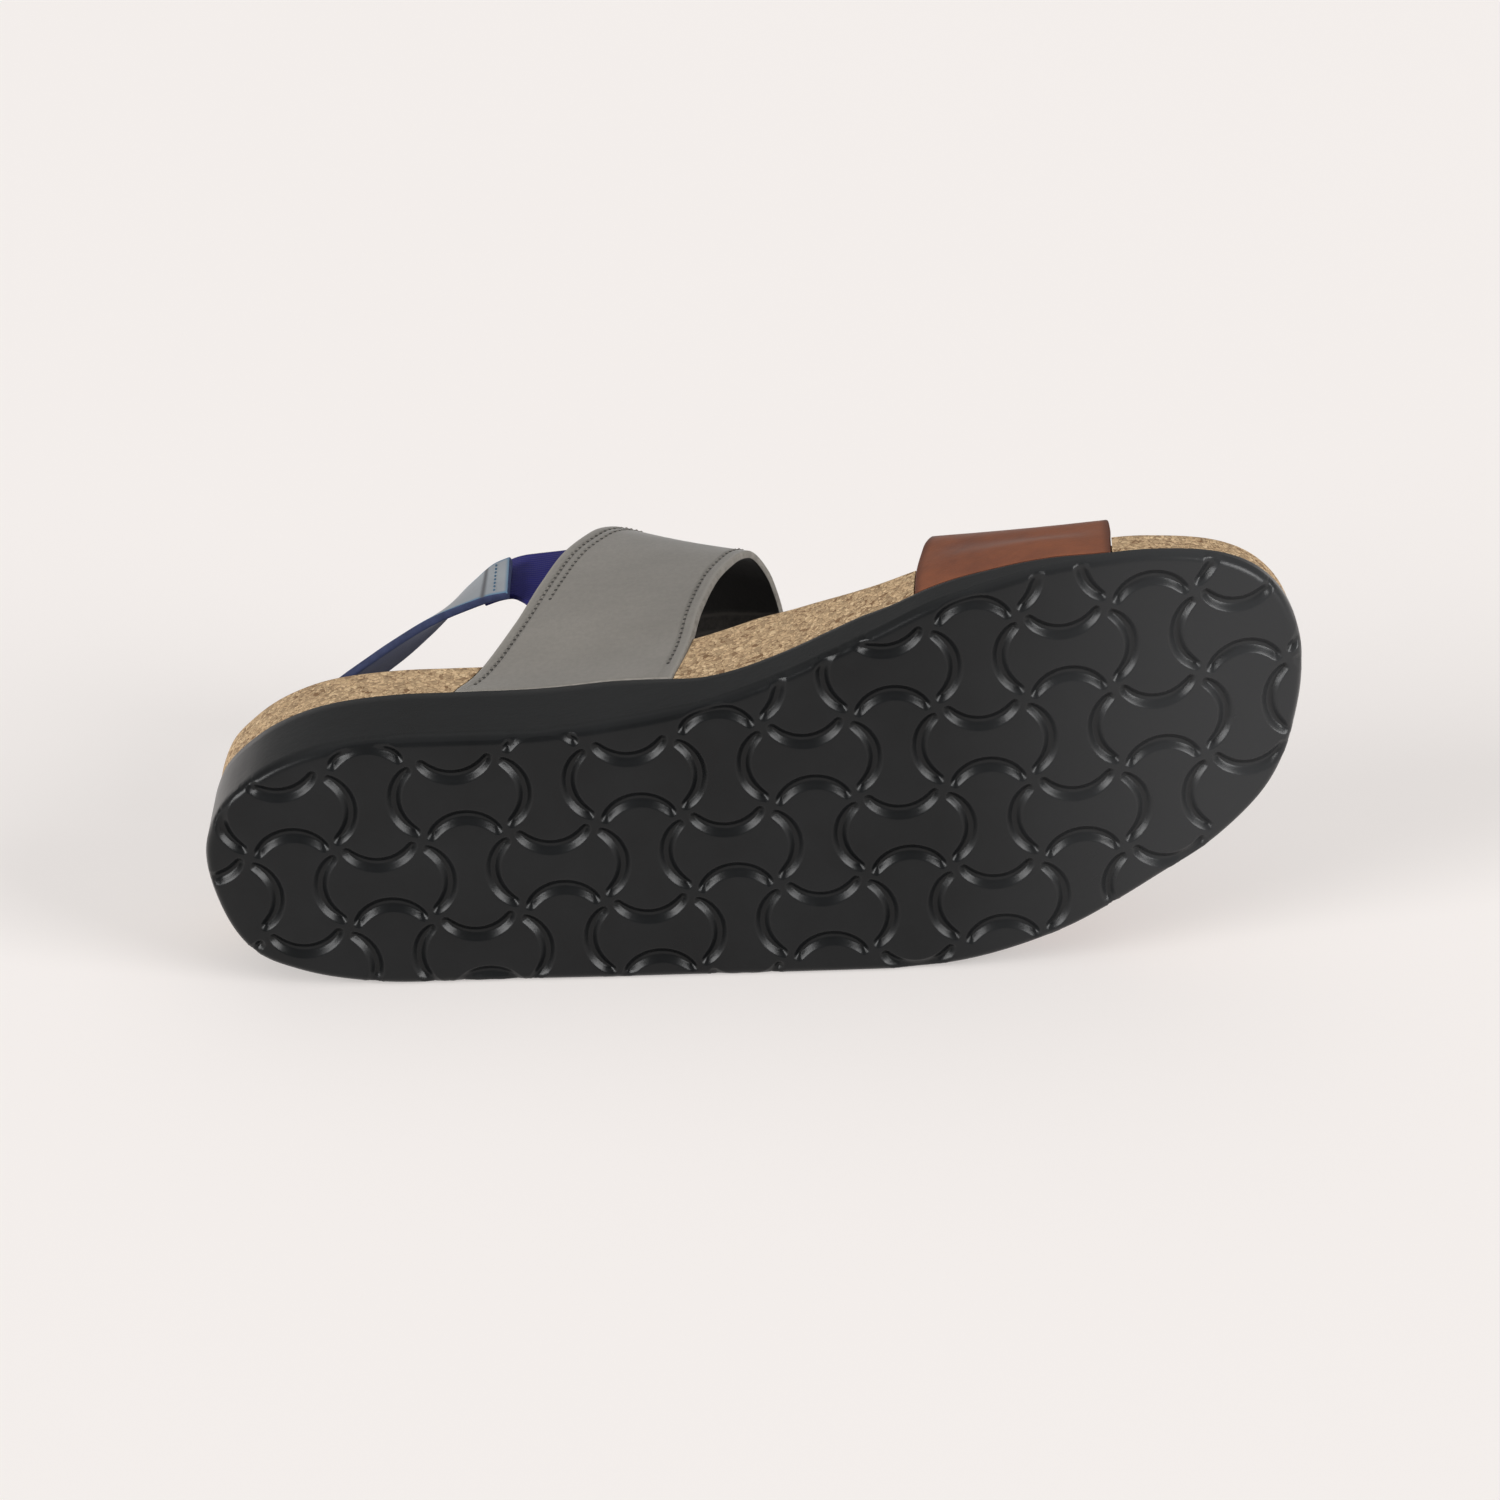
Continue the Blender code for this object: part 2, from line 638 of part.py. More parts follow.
def make_band(name, table, width, thickness, steps, columns, over, outer_end):
    """A flat band that follows a path, with a lean and a width for each place."""
    path = []
    for row in table:
        path.append((row[0] * SOLE_LENGTH, row[1] * BALL_WIDTH, row[2] * INSTEP_HEIGHT))
    place = [0.0]
    for a, b in zip(path, path[1:]):
        place.append(place[-1] + math.dist(a, b))
    middle = []
    for k in range(steps + 1):
        at = place[-1] * k / steps
        middle.append(Vector([smooth(place, [p[c] for p in path], at) for c in range(3)]))
    ankle = Vector((0.25 * SOLE_LENGTH, 0.06 * BALL_WIDTH, middle[0].z))
    outer = []
    for k in range(steps + 1):
        before = middle[max(k - 1, 0)]
        after = middle[min(k + 1, steps)]
        run = (after - before).normalized()
        out = run.cross(Vector((0, 0, 1))).normalized()
        if out.dot(middle[k] - ankle) < 0:
            out = -out
        at = place[-1] * k / steps
        lean = math.radians(smooth(place, column(table, 3), at))
        wide = width * smooth(place, column(table, 4), at)
        up = Vector((0, 0, 1))
        rise = (up * math.cos(lean) - out * math.sin(lean)).normalized()
        outer.append([middle[k] + rise * wide * (j / columns - 0.5) for j in range(columns + 1)])
    tuck(outer, over, outer_end)
    normals = grid_normals(outer)
    if Vector(normals[0][0]).dot(outer[0][0] - ankle) < 0:
        normals = -normals
    inner = offset_grid(outer, normals, -thickness)
    return solid_sheet(name, outer, inner)


def finish(obj, stand):
    """Its material, smooth shading with sharp edges kept, and its place on the stand."""
    name, colour, roughness = MATERIALS[obj.name]
    material = bpy.data.materials.new(name)
    material.use_nodes = True
    shader = material.node_tree.nodes["Principled BSDF"]
    shader.inputs["Base Color"].default_value = (*colour, 1.0)
    shader.inputs["Roughness"].default_value = roughness
    obj.data.materials.clear()
    obj.data.materials.append(material)
    obj.data.shade_smooth()
    obj.data.set_sharp_from_angle(angle=math.radians(35))
    obj.parent = stand


def lay_on_side(stand, objects):
    """Turns the outer side down, its straight stretch level, and centres the sandal on the floor."""
    rise = (OUTLINE[15][2] - OUTLINE[7][2]) * BALL_WIDTH
    run = (OUTLINE[15][0] - OUTLINE[7][0]) * SOLE_LENGTH
    level = Matrix.Rotation(-math.atan2(rise, run), 4, "Y")
    turn = level @ Matrix.Rotation(math.radians(-90), 4, "X")
    corners = []
    for obj in objects:
        corners += [turn @ vertex.co for vertex in obj.data.vertices]
    low = Vector([min(c[k] for c in corners) for k in range(3)])
    high = Vector([max(c[k] for c in corners) for k in range(3)])
    place = Vector((-(low.x + high.x) / 2, -(low.y + high.y) / 2, -low.z))
    stand.matrix_world = Matrix.Translation(place) @ turn


def main():
    for obj in list(bpy.data.objects):
        bpy.data.objects.remove(obj)
    stand = bpy.data.objects.new("stand", None)
    bpy.context.scene.collection.objects.link(stand)
    strap = make_strap("instep_strap", INSTEP_STRAP, INSTEP_HEIGHT, STRAP_THICKNESS)
    objects = [
        make_outsole(),
        make_footbed(),
        make_insole(),
        strap,
        make_strap("toe_strap", TOE_STRAP, TOE_STRAP_HEIGHT, TOE_STRAP_THICKNESS),
        make_band("heel_sling", HEEL_SLING, SLING_WIDTH, SLING_THICKNESS, 40, 3, strap, True),
        make_band("sling_elastic", SLING_ELASTIC, ELASTIC_WIDTH, ELASTIC_THICKNESS, 10, 3, strap, False),
    ]
    for obj in objects:
        finish(obj, stand)
    lay_on_side(stand, objects)


main()
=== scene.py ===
"""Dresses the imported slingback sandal: sole, cork footbed, lining, straps, sling and elastic."""

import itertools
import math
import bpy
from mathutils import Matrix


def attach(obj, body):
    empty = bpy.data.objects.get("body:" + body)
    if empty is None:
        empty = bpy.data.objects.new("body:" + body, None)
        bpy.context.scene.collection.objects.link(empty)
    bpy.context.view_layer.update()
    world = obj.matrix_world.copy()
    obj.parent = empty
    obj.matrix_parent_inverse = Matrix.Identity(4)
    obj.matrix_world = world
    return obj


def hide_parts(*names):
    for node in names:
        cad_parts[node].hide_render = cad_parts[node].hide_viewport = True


bl_info = {
    "name": "Slingback Sandal",
    "version": (1, 0, 0),
    "blender": (4, 5, 0),
    "location": "View3D > Sidebar > Sandal",
    "description": "Builds a left slingback sandal that lies on its outer side",
    "category": "Object",
}

from functools import cache

import bmesh
import bpy
import numpy as np
from bpy.props import FloatProperty, FloatVectorProperty, IntProperty, PointerProperty
from mathutils import Matrix, Quaternion, Vector
from mathutils.bvhtree import BVHTree
from mathutils.geometry import delaunay_2d_cdt

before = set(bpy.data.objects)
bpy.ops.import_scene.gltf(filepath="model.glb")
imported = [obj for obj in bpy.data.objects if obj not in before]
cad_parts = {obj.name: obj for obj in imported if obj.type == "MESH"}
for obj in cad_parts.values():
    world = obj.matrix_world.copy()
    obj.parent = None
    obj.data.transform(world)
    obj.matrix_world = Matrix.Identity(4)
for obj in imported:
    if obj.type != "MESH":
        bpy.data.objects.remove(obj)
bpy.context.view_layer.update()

# The sandal's sizes, as in the CAD, in metres
SOLE_LENGTH = 0.255
BALL_WIDTH = 0.095
RIM_HEIGHT = 0.0385
INSTEP_HEIGHT = 0.1115
TOE_STRAP_HEIGHT = 0.0595
STRAP_THICKNESS = 0.0020
SLING_THICKNESS = 0.0020
SLING_WIDTH = 0.0185
ELASTIC_WIDTH = 0.0215
ELASTIC_THICKNESS = 0.0014
INSOLE_THICKNESS = 0.0015
BED_STEP = 0.0018
FIT_GAP = 0.0003
TUCK_GAP = 0.0010
RIM_WIDTH = 0.0042
CORK_STEP = 0.0005

# Tread: crescent grooves on a square net, turned a little against the sole
TREAD_PITCH_ALONG = 0.0200
TREAD_PITCH_ACROSS = 0.0205
TREAD_START_X = 0.0326
TREAD_START_Y = -0.0215
TREAD_TURN = math.radians(6.1)
CRESCENT_INNER_RISE = 0.0032
CRESCENT_OUTER_RISE = 0.0068
CRESCENT_END = 0.0018

# How the sandal lies: its turn on the floor and the place of the heel's ground point
LIE_COS = 0.982277
LIE_SIN = 0.187436
LIE_PLACE = (-0.125255, -0.055577, 0.029585)

# Outline. Columns: along as share of SOLE_LENGTH, inner side and outer side as share of BALL_WIDTH
OUTLINE = (
    (0.0000, -0.010, 0.045),
    (0.0040, -0.072, 0.132),
    (0.0120, -0.116, 0.196),
    (0.0275, -0.174, 0.251),
    (0.0470, -0.211, 0.286),
    (0.0745, -0.248, 0.326),
    (0.1100, -0.272, 0.363),
    (0.1412, -0.278, 0.387),
    (0.1960, -0.266, 0.415),
    (0.2431, -0.243, 0.439),
    (0.3216, -0.206, 0.481),
    (0.3960, -0.193, 0.519),
    (0.4510, -0.193, 0.548),
    (0.4980, -0.205, 0.572),
    (0.5490, -0.231, 0.598),
    (0.5922, -0.261, 0.618),
    (0.6392, -0.295, 0.629),
    (0.6863, -0.333, 0.623),
    (0.7450, -0.357, 0.594),
    (0.7960, -0.367, 0.549),
    (0.8392, -0.359, 0.504),
    (0.8824, -0.343, 0.460),
    (0.9255, -0.306, 0.392),
    (0.9490, -0.274, 0.340),
    (0.9686, -0.233, 0.268),
    (0.9824, -0.188, 0.188),
    (0.9922, -0.137, 0.116),
    (0.9980, -0.081, 0.046),
    (1.0000, -0.036, 0.008),
)

# Underside. Columns: along as share of SOLE_LENGTH, lift off the ground as share of RIM_HEIGHT
UNDERSIDE = (
    (0.0000, 0.034),
    (0.0300, 0.012),
    (0.0750, 0.000),
    (0.7450, 0.000),
    (0.8040, 0.020),
    (0.8630, 0.056),
    (0.9220, 0.106),
    (0.9700, 0.165),
    (1.0000, 0.210),
)

# Side. Columns: along as share of SOLE_LENGTH, then as shares of RIM_HEIGHT the top of the black
# sole, the cork's edge on the inner side, on the outer side, and the depth of the foot's bed
SIDE = (
    (0.000, 0.640, 1.000, 1.000, 0.13),
    (0.100, 0.636, 1.010, 0.985, 0.18),
    (0.200, 0.634, 0.995, 0.950, 0.17),
    (0.290, 0.640, 1.000, 0.905, 0.14),
    (0.375, 0.612, 0.990, 0.850, 0.12),
    (0.415, 0.550, 0.985, 0.820, 0.11),
    (0.445, 0.470, 0.980, 0.790, 0.11),
    (0.475, 0.385, 0.980, 0.760, 0.11),
    (0.515, 0.345, 0.975, 0.715, 0.11),
    (0.565, 0.335, 0.875, 0.650, 0.10),
    (0.615, 0.335, 0.745, 0.585, 0.09),
    (0.660, 0.275, 0.640, 0.530, 0.09),
    (0.710, 0.252, 0.545, 0.480, 0.08),
    (0.755, 0.208, 0.475, 0.440, 0.08),
    (0.800, 0.160, 0.410, 0.405, 0.08),
    (0.840, 0.130, 0.368, 0.372, 0.08),
    (0.885, 0.150, 0.372, 0.372, 0.07),
    (0.925, 0.205, 0.410, 0.410, 0.06),
    (0.965, 0.275, 0.465, 0.465, 0.05),
    (1.000, 0.340, 0.515, 0.515, 0.04),
)
BLACK_TOP, CORK_INNER, CORK_OUTER, BED_DEPTH = 1, 2, 3, 4

# Instep strap, from the inner base over the instep to the outer base. Columns for the rear edge
# and then the front edge: along (SOLE_LENGTH), across (BALL_WIDTH), up (INSTEP_HEIGHT)
INSTEP_STRAP = (
    (0.243, -0.242, 0.224, 0.443, -0.193, 0.167),
    (0.263, -0.232, 0.305, 0.460, -0.200, 0.309),
    (0.298, -0.244, 0.498, 0.472, -0.214, 0.448),
    (0.322, -0.263, 0.639, 0.487, -0.214, 0.581),
    (0.342, -0.269, 0.757, 0.505, -0.205, 0.679),
    (0.368, -0.259, 0.862, 0.518, -0.179, 0.740),
    (0.392, -0.216, 0.940, 0.526, -0.126, 0.776),
    (0.410, -0.126, 0.991, 0.532, -0.053, 0.794),
    (0.416, -0.011, 1.000, 0.534, 0.032, 0.798),
    (0.412, 0.126, 0.969, 0.533, 0.147, 0.776),
    (0.400, 0.263, 0.883, 0.527, 0.274, 0.717),
    (0.380, 0.379, 0.753, 0.518, 0.400, 0.623),
    (0.353, 0.458, 0.592, 0.504, 0.500, 0.502),
    (0.325, 0.481, 0.448, 0.488, 0.553, 0.377),
    (0.294, 0.467, 0.341, 0.474, 0.560, 0.269),
    (0.267, 0.453, 0.224, 0.463, 0.554, 0.148),
)

# Toe strap, in the same order; up is a share of TOE_STRAP_HEIGHT
TOE_STRAP = (
    (0.673, -0.322, 0.175, 0.851, -0.356, 0.085),
    (0.677, -0.328, 0.365, 0.853, -0.351, 0.240),
    (0.686, -0.326, 0.580, 0.854, -0.337, 0.430),
    (0.693, -0.305, 0.731, 0.854, -0.300, 0.560),
    (0.698, -0.232, 0.882, 0.853, -0.216, 0.690),
    (0.698, -0.105, 0.975, 0.849, -0.095, 0.765),
    (0.692, 0.042, 1.000, 0.843, 0.032, 0.782),
    (0.682, 0.189, 0.966, 0.835, 0.147, 0.756),
    (0.669, 0.337, 0.874, 0.827, 0.263, 0.689),
    (0.651, 0.474, 0.731, 0.820, 0.368, 0.580),
    (0.633, 0.574, 0.555, 0.812, 0.453, 0.445),
    (0.616, 0.615, 0.378, 0.806, 0.511, 0.294),
    (0.602, 0.619, 0.220, 0.802, 0.542, 0.110),
)

# Heel sling. Columns: along (SOLE_LENGTH), across (BALL_WIDTH), up (INSTEP_HEIGHT) of the middle
# of its outer face, lean towards the foot in degrees, width as share of SLING_WIDTH. Its inner
# part leans further in than the solid's, so its inner face shows as it does in the photo
HEEL_SLING = (
    (0.292, -0.269, 0.698, -2, 1.06),
    (0.278, -0.267, 0.696, 0, 1.03),
    (0.252, -0.249, 0.686, 8, 0.98),
    (0.219, -0.216, 0.674, 20, 0.98),
    (0.190, -0.178, 0.668, 27, 0.98),
    (0.160, -0.138, 0.664, 31, 0.98),
    (0.126, -0.095, 0.661, 32, 0.98),
    (0.090, -0.044, 0.660, 28, 1.00),
    (0.064, 0.011, 0.662, 20, 1.00),
    (0.055, 0.068, 0.664, 14, 1.00),
    (0.062, 0.130, 0.666, 12, 1.00),
    (0.085, 0.195, 0.667, 12, 1.00),
    (0.125, 0.260, 0.669, 12, 1.00),
    (0.175, 0.312, 0.672, 11, 1.00),
    (0.235, 0.352, 0.677, 12, 1.00),
    (0.300, 0.376, 0.682, 15, 1.00),
    (0.345, 0.381, 0.686, 19, 1.00),
    (0.385, 0.374, 0.690, 23, 1.00),
)

# Elastic. The same columns; the last is a share of ELASTIC_WIDTH
SLING_ELASTIC = (
    (0.264, -0.226, 0.738, 1, 0.80),
    (0.280, -0.232, 0.748, -1, 0.84),
    (0.291, -0.235, 0.750, -2, 0.90),
    (0.312, -0.232, 0.724, -4, 1.16),
    (0.352, -0.225, 0.718, -3, 1.24),
)

# Outline: points between two of its corners, how often it is softened, and the points of its rails
CURVE_STEPS = 16
CURVE_SOFTENINGS = 6
RAIL_POINTS = 900

# Bed of the foot: how far its hollow fades in from the heel and from the toe, as shares of the
# sole, how square its cross section is, and the least half width that it keeps
BED_HEEL_FADE = 0.10
BED_TOE_FADE = 0.12
BED_SQUARENESS = 2.6
BED_HALF_LEAST = 0.0010

# Straps: their feet follow the outline up to a share of the rim's height, and less and less over
# the last stretch of it. They start just above their seam, and the counts are those of their grids
FOLLOW_TOP = 1.6
FOLLOW_STRETCH = 0.6
SEAM_CLEAR = 0.0004
STRAP_SAMPLES = 400
STRAP_COLUMNS = 34
INSTEP_ROWS = 121
TOE_ROWS = 101

# Pockets in the cork for the straps' ends: the grid of a cutter, the rows of it that cut, its room
# round the strap, and how far it stands out of the cork and reaches below the strap's foot
POCKET_ROWS = 81
POCKET_COLUMNS = 13
POCKET_DEEP = 21
POCKET_ROOM = 0.0002
POCKET_OUT = 0.004
POCKET_FOOT = 0.003
LEAST_CORK = 0.8

# Bands: the middle of the ankle that they go round, the distance over which their ends tuck in
# under the instep strap, and where the search for its inner face starts and how far it goes
ANKLE = (0.25 * SOLE_LENGTH, 0.06 * BALL_WIDTH)
TUCK_REACH = 0.012
TUCK_START = 0.025
TUCK_SEARCH = 0.040
SLING_STEPS = (140, 12)
ELASTIC_STEPS = (60, 40)
ELASTIC_ROUND = 0.0004

# Grooves of the tread: the middle and half width of a crescent, how blunt its ends are, how soft
# its wall is at both ends, how it fades out towards the rim, how often the search for a point's
# place on the wall is halved, and the rings of points along the wall
GROOVE_MIDDLE = (CRESCENT_INNER_RISE + CRESCENT_OUTER_RISE) / 2
GROOVE_HALF = (CRESCENT_OUTER_RISE - CRESCENT_INNER_RISE) / 2
GROOVE_BLUNT = 0.24
GROOVE_SOFT = 0.22
GROOVE_FADE = 0.0032
GROOVE_AT_RIM = 0.25
GROOVE_HALVINGS = 22
GROOVE_RINGS = (0.0, 0.10, 0.22, 0.42, 0.62, 0.78, 0.92)
GROOVE_POINTS = 60

# Tread: the columns and rows of its net that are looked at, and which crescents touch the sole:
# those between two shares of its length, and up to some distance past its outline
TREAD_COLUMNS = range(-3, 14)
TREAD_ROWS = range(-3, 6)
TREAD_HEEL = -0.01
TREAD_TOE = 1.03
TREAD_ROOM = 0.0045

# Sole: the points of its rim, the rings of its rounded ground edge as shares of their radius, and
# the spacing and margin of the loose points in its underside and in its top. Points closer than
# the last value are one point
RIM_POINTS = 520
GROUND_RINGS = (0.0, 0.3, 0.65, 1.0)
UNDERSIDE_NET = (0.0042, 0.0022)
TOP_NET = (0.008, 0.003)
SAME_POINT = 1e-7

# Rings of the sole's wall. Columns: share of its height, inwards, and down from its top
WALL_RINGS = (
    (0.10, 0.0, 0.0005),
    (0.25, 0.0, 0.0005),
    (0.45, 0.0, 0.0005),
    (0.65, 0.0, 0.0005),
    (0.85, 0.0, 0.0005),
    (1.00, 0.0, 0.0005),
    (1.00, 0.00015, 0.00015),
    (1.00, 0.0005, 0.0),
    (1.00, 0.0030, 0.0),
)

# Rings of the cork's side as shares of its height, of its rounded edge (inwards, down) and of the
# step down from the ledge into the bed. Then the same edge of the lining, and its room in the bed
CORK_SIDE = (0.0, 0.15, 0.35, 0.55, 0.75, 0.92)
CORK_EDGE = ((0.0, 0.0009), (0.00012, 0.00045), (0.00045, 0.00012), (0.0009, 0.0))
CORK_LEDGE = (0.0002, 0.0003)
CORK_RUNGS = 30
LINING_EDGE = ((0.0, 0.0006), (0.0001, 0.0003), (0.0003, 0.0001), (0.0007, 0.0))
LINING_ROOM = 0.0004
LINING_RUNGS = 40

# Angles in degrees: below the first three a piece's faces are shaded as one smooth surface, and
# above the last one a sheet of leather gets a rounded edge, made of so many segments
SOLE_SMOOTH = 48
CORK_SMOOTH = 40
LINING_SMOOTH = 60
LEATHER_CORNER = 50
LEATHER_SEGMENTS = 3

# Rows of stitches, as shares of the strap's arch from its inner seam, and of the sling's hem
STITCH_SAMPLES = 160
WHOLE_ROW = (0.03, 0.97)
ELASTIC_ROW = (0.20, 0.45)
HEM_ROW = 0.6

# Stitches and needle holes, as shares of the stitch pitch and of the thread's radius, and the
# stretch over which a row's direction is measured
STITCH_LENGTH = 0.56
STITCH_BOW = 0.7
STITCH_FLAT = 0.85
STITCH_SUNK = 0.35
HOLE_SIZE = (1.75, 1.65, 0.5)
HOLE_SUNK = 0.1
SEW_RUN = 0.0004
# Colour of the needle holes: painted shade, a dark dot standing in for the shade inside each hole
NEEDLE_HOLE_SHADE = (0.058, 0.055, 0.050)

# Strap lining: how much its seam slants. Elastic: threads across it and their share in its weave
LINING_SEAM_TILT = 0.066
CROSS_THREADS = 46
THREAD_SHARE = 0.35

# Sockets of a Mix node that mixes colours
MIX_MASK = 0
MIX_FIRST = 6
MIX_SECOND = 7
MIX_RESULT = 2

# Lights. Columns: name, where it stands as seen from the sandal, the angle that it spans in
# degrees, and the stage's setting for its strength
LIGHTS = (
    ("left light", (-0.80, -0.47, 0.36), 30, "key"),
    ("right light", (0.80, -0.47, 0.36), 30, "key"),
    ("top light", (0.0, 0.20, 1.0), 80, "top"),
)
ROOM_COLOUR = (1.0, 0.995, 0.985)
FLOOR_SIZE = 12.0

# Camera: its place, the way it looks and its roll in degrees
CAMERA_PLACE = (0.001834, -0.961699, 0.522880)
CAMERA_LOOK = (-0.001935, 0.890127, -0.455708)
CAMERA_ROLL = -1.727
CAMERA_SENSOR = 36.0
CAMERA_CLIP = (0.05, 50.0)


class SandalSole(bpy.types.PropertyGroup):
    """Sizes and colours of the sole, the cork and the lining"""

    groove_depth: FloatProperty(
        name="Groove depth", description="How deep the tread's crescents are",
        default=0.0014, min=0.0002, max=0.003, unit="LENGTH")
    groove_wall: FloatProperty(
        name="Groove wall", description="Width over which a crescent's wall falls to its floor",
        default=0.0016, min=0.0004, max=0.002, unit="LENGTH")
    groove_lip: FloatProperty(
        name="Groove lip", description="How far the soft edge of a crescent reaches outwards",
        default=0.00035, min=0.0001, max=0.001, unit="LENGTH")
    ground_edge: FloatProperty(
        name="Ground edge", description="Radius of the sole's edge towards the ground",
        default=0.0021, min=0.0003, max=0.003, unit="LENGTH")
    rubber: FloatVectorProperty(
        name="Rubber", description="Colour of the moulded sole",
        default=(0.0050, 0.0055, 0.0060), subtype="COLOR", min=0, max=1)
    # Painted light: a paler colour towards the toe that stands in for the light falling there
    painted_light: FloatVectorProperty(
        name="Toe bloom", description="Paler bloom of the rubber towards the toe",
        default=(0.0260, 0.0268, 0.0280), subtype="COLOR", min=0, max=1)
    cork_light: FloatVectorProperty(
        name="Light granules", description="Lightest granules of the cork",
        default=(0.680, 0.500, 0.300), subtype="COLOR", min=0, max=1)
    cork_dark: FloatVectorProperty(
        name="Dark granules", description="Darkest granules of the cork",
        default=(0.215, 0.120, 0.058), subtype="COLOR", min=0, max=1)
    granules: FloatProperty(
        name="Granules per metre", description="How fine the cork's granules are",
        default=760.0, min=100, max=2000)
    lining: FloatVectorProperty(
        name="Lining", description="Colour of the lining in the foot's bed",
        default=(0.0200, 0.0188, 0.0178), subtype="COLOR", min=0, max=1)


class SandalUpper(bpy.types.PropertyGroup):
    """Sizes and colours of the straps, the sling, the elastic and the stitches"""

    edge_round: FloatProperty(
        name="Edge rounding", description="Radius of the leather's cut edges",
        default=0.00055, min=0.0001, max=0.0009, unit="LENGTH")
    stitch_pitch: FloatProperty(
        name="Stitch pitch", description="From one needle hole to the next",
        default=0.0019, min=0.001, max=0.006, unit="LENGTH")
    thread_radius: FloatProperty(
        name="Thread radius", description="Radius of the sewing thread",
        default=0.00028, min=0.0001, max=0.001, unit="LENGTH")
    stitch_inset: FloatProperty(
        name="Stitch inset", description="From the strap's edge to the first row of stitches",
        default=0.0030, min=0.001, max=0.008, unit="LENGTH")
    row_gap: FloatProperty(
        name="Row gap", description="Between the two rows that hold the elastic",
        default=0.0022, min=0.001, max=0.008, unit="LENGTH")
    hem: FloatProperty(
        name="Hem", description="Width of the folded hem at the sling's end",
        default=0.0064, min=0.002, max=0.02, unit="LENGTH")
    nubuck: FloatVectorProperty(
        name="Nubuck", description="Colour of the instep strap",
        default=(0.198, 0.184, 0.164), subtype="COLOR", min=0, max=1)
    inside: FloatVectorProperty(
        name="Strap lining", description="Colour of the instep strap's inner face",
        default=(0.0095, 0.0085, 0.0075), subtype="COLOR", min=0, max=1)
    brown: FloatVectorProperty(
        name="Brown leather", description="Colour of the toe strap",
        default=(0.196, 0.056, 0.024), subtype="COLOR", min=0, max=1)
    sling: FloatVectorProperty(
        name="Sling leather", description="Colour of the sling's outer face",
        default=(0.285, 0.292, 0.318), subtype="COLOR", min=0, max=1)
    sling_edge: FloatVectorProperty(
        name="Sling edge", description="Colour of the line along the sling's edge",
        default=(0.085, 0.185, 0.290), subtype="COLOR", min=0, max=1)
    navy: FloatVectorProperty(
        name="Navy", description="Colour of the sling's inner face",
        default=(0.038, 0.049, 0.113), subtype="COLOR", min=0, max=1)
    elastic: FloatVectorProperty(
        name="Elastic", description="Colour of the woven elastic",
        default=(0.017, 0.015, 0.140), subtype="COLOR", min=0, max=1)
    ribs: IntProperty(
        name="Elastic ribs", description="Number of ribs across the elastic",
        default=24, min=4, max=60)


class SandalStage(bpy.types.PropertyGroup):
    """The floor, the light and the camera"""

    floor: FloatVectorProperty(
        name="Floor", description="Colour of the plain floor",
        default=(0.532, 0.507, 0.493), subtype="COLOR", min=0, max=1)
    sky: FloatProperty(
        name="Room light", description="Strength of the even light from the whole room",
        default=0.28, min=0, max=5)
    key: FloatProperty(
        name="Side lights", description="Strength of each of the two wide lights beside the camera",
        default=2.20, min=0, max=20)
    top: FloatProperty(
        name="Top light", description="Strength of the very soft light from above",
        default=0.50, min=0, max=20)
    glow: FloatProperty(
        name="Floor glow", description="How much the floor shines by itself, as a light table does",
        default=0.75, min=0, max=5)
    lens: FloatProperty(
        name="Lens", description="Focal length of the camera, in millimetres",
        default=108.0, min=20, max=300)


def slopes(xs, ys):
    """Slopes of a smooth curve through the points that never swings past them"""
    steps = np.diff(xs)
    rises = np.diff(ys) / steps
    found = np.zeros(len(xs))
    for i in range(1, len(xs) - 1):
        if rises[i - 1] * rises[i] > 0:
            a = 2 * steps[i] + steps[i - 1]
            b = steps[i] + 2 * steps[i - 1]
            found[i] = (a + b) / (a / rises[i - 1] + b / rises[i])
    found[0] = rises[0]
    found[-1] = rises[-1]
    return found


def smooth(xs, ys, at):
    """The smooth curve's values; past either end it goes on along the end's slope"""
    xs = np.asarray(xs, float)
    ys = np.asarray(ys, float)
    at = np.asarray(at, float)
    d = slopes(xs, ys)
    i = np.clip(np.searchsorted(xs, at) - 1, 0, len(xs) - 2)
    h = xs[i + 1] - xs[i]
    k = (at - xs[i]) / h
    start = (1 + 2 * k) * (1 - k) ** 2 * ys[i] + k * (1 - k) ** 2 * h * d[i]
    end = k * k * (3 - 2 * k) * ys[i + 1] + k * k * (k - 1) * h * d[i + 1]
    value = np.where(at <= xs[0], ys[0] + d[0] * (at - xs[0]), start + end)
    return np.where(at >= xs[-1], ys[-1] + d[-1] * (at - xs[-1]), value)


def column(table, index):
    """One column of a table"""
    return [row[index] for row in table]


def lying(points):
    """Points of the upright sandal, moved to where it lies"""
    p = np.asarray(points, float)
    x = LIE_COS * p[..., 0] + LIE_SIN * p[..., 1] + LIE_PLACE[0]
    y = p[..., 2] + LIE_PLACE[1]
    z = LIE_SIN * p[..., 0] - LIE_COS * p[..., 1] + LIE_PLACE[2]
    return np.stack([x, y, z], axis=-1)


def upright(points):
    """Points of the lying sandal, moved back to the upright one"""
    p = np.asarray(points, float) - np.array(LIE_PLACE)
    x = LIE_COS * p[..., 0] + LIE_SIN * p[..., 2]
    y = LIE_SIN * p[..., 0] - LIE_COS * p[..., 2]
    return np.stack([x, y, p[..., 1]], axis=-1)


def along_path(points):
    """Distance from the first point of a path to each of its points"""
    steps = np.linalg.norm(np.diff(points, axis=0), axis=1)
    return np.concatenate([[0.0], np.cumsum(steps)])


def at_place(points, place, at):
    """Values of a path's points at some distances along it"""
    return np.stack([np.interp(at, place, points[:, k]) for k in range(points.shape[1])], axis=-1)


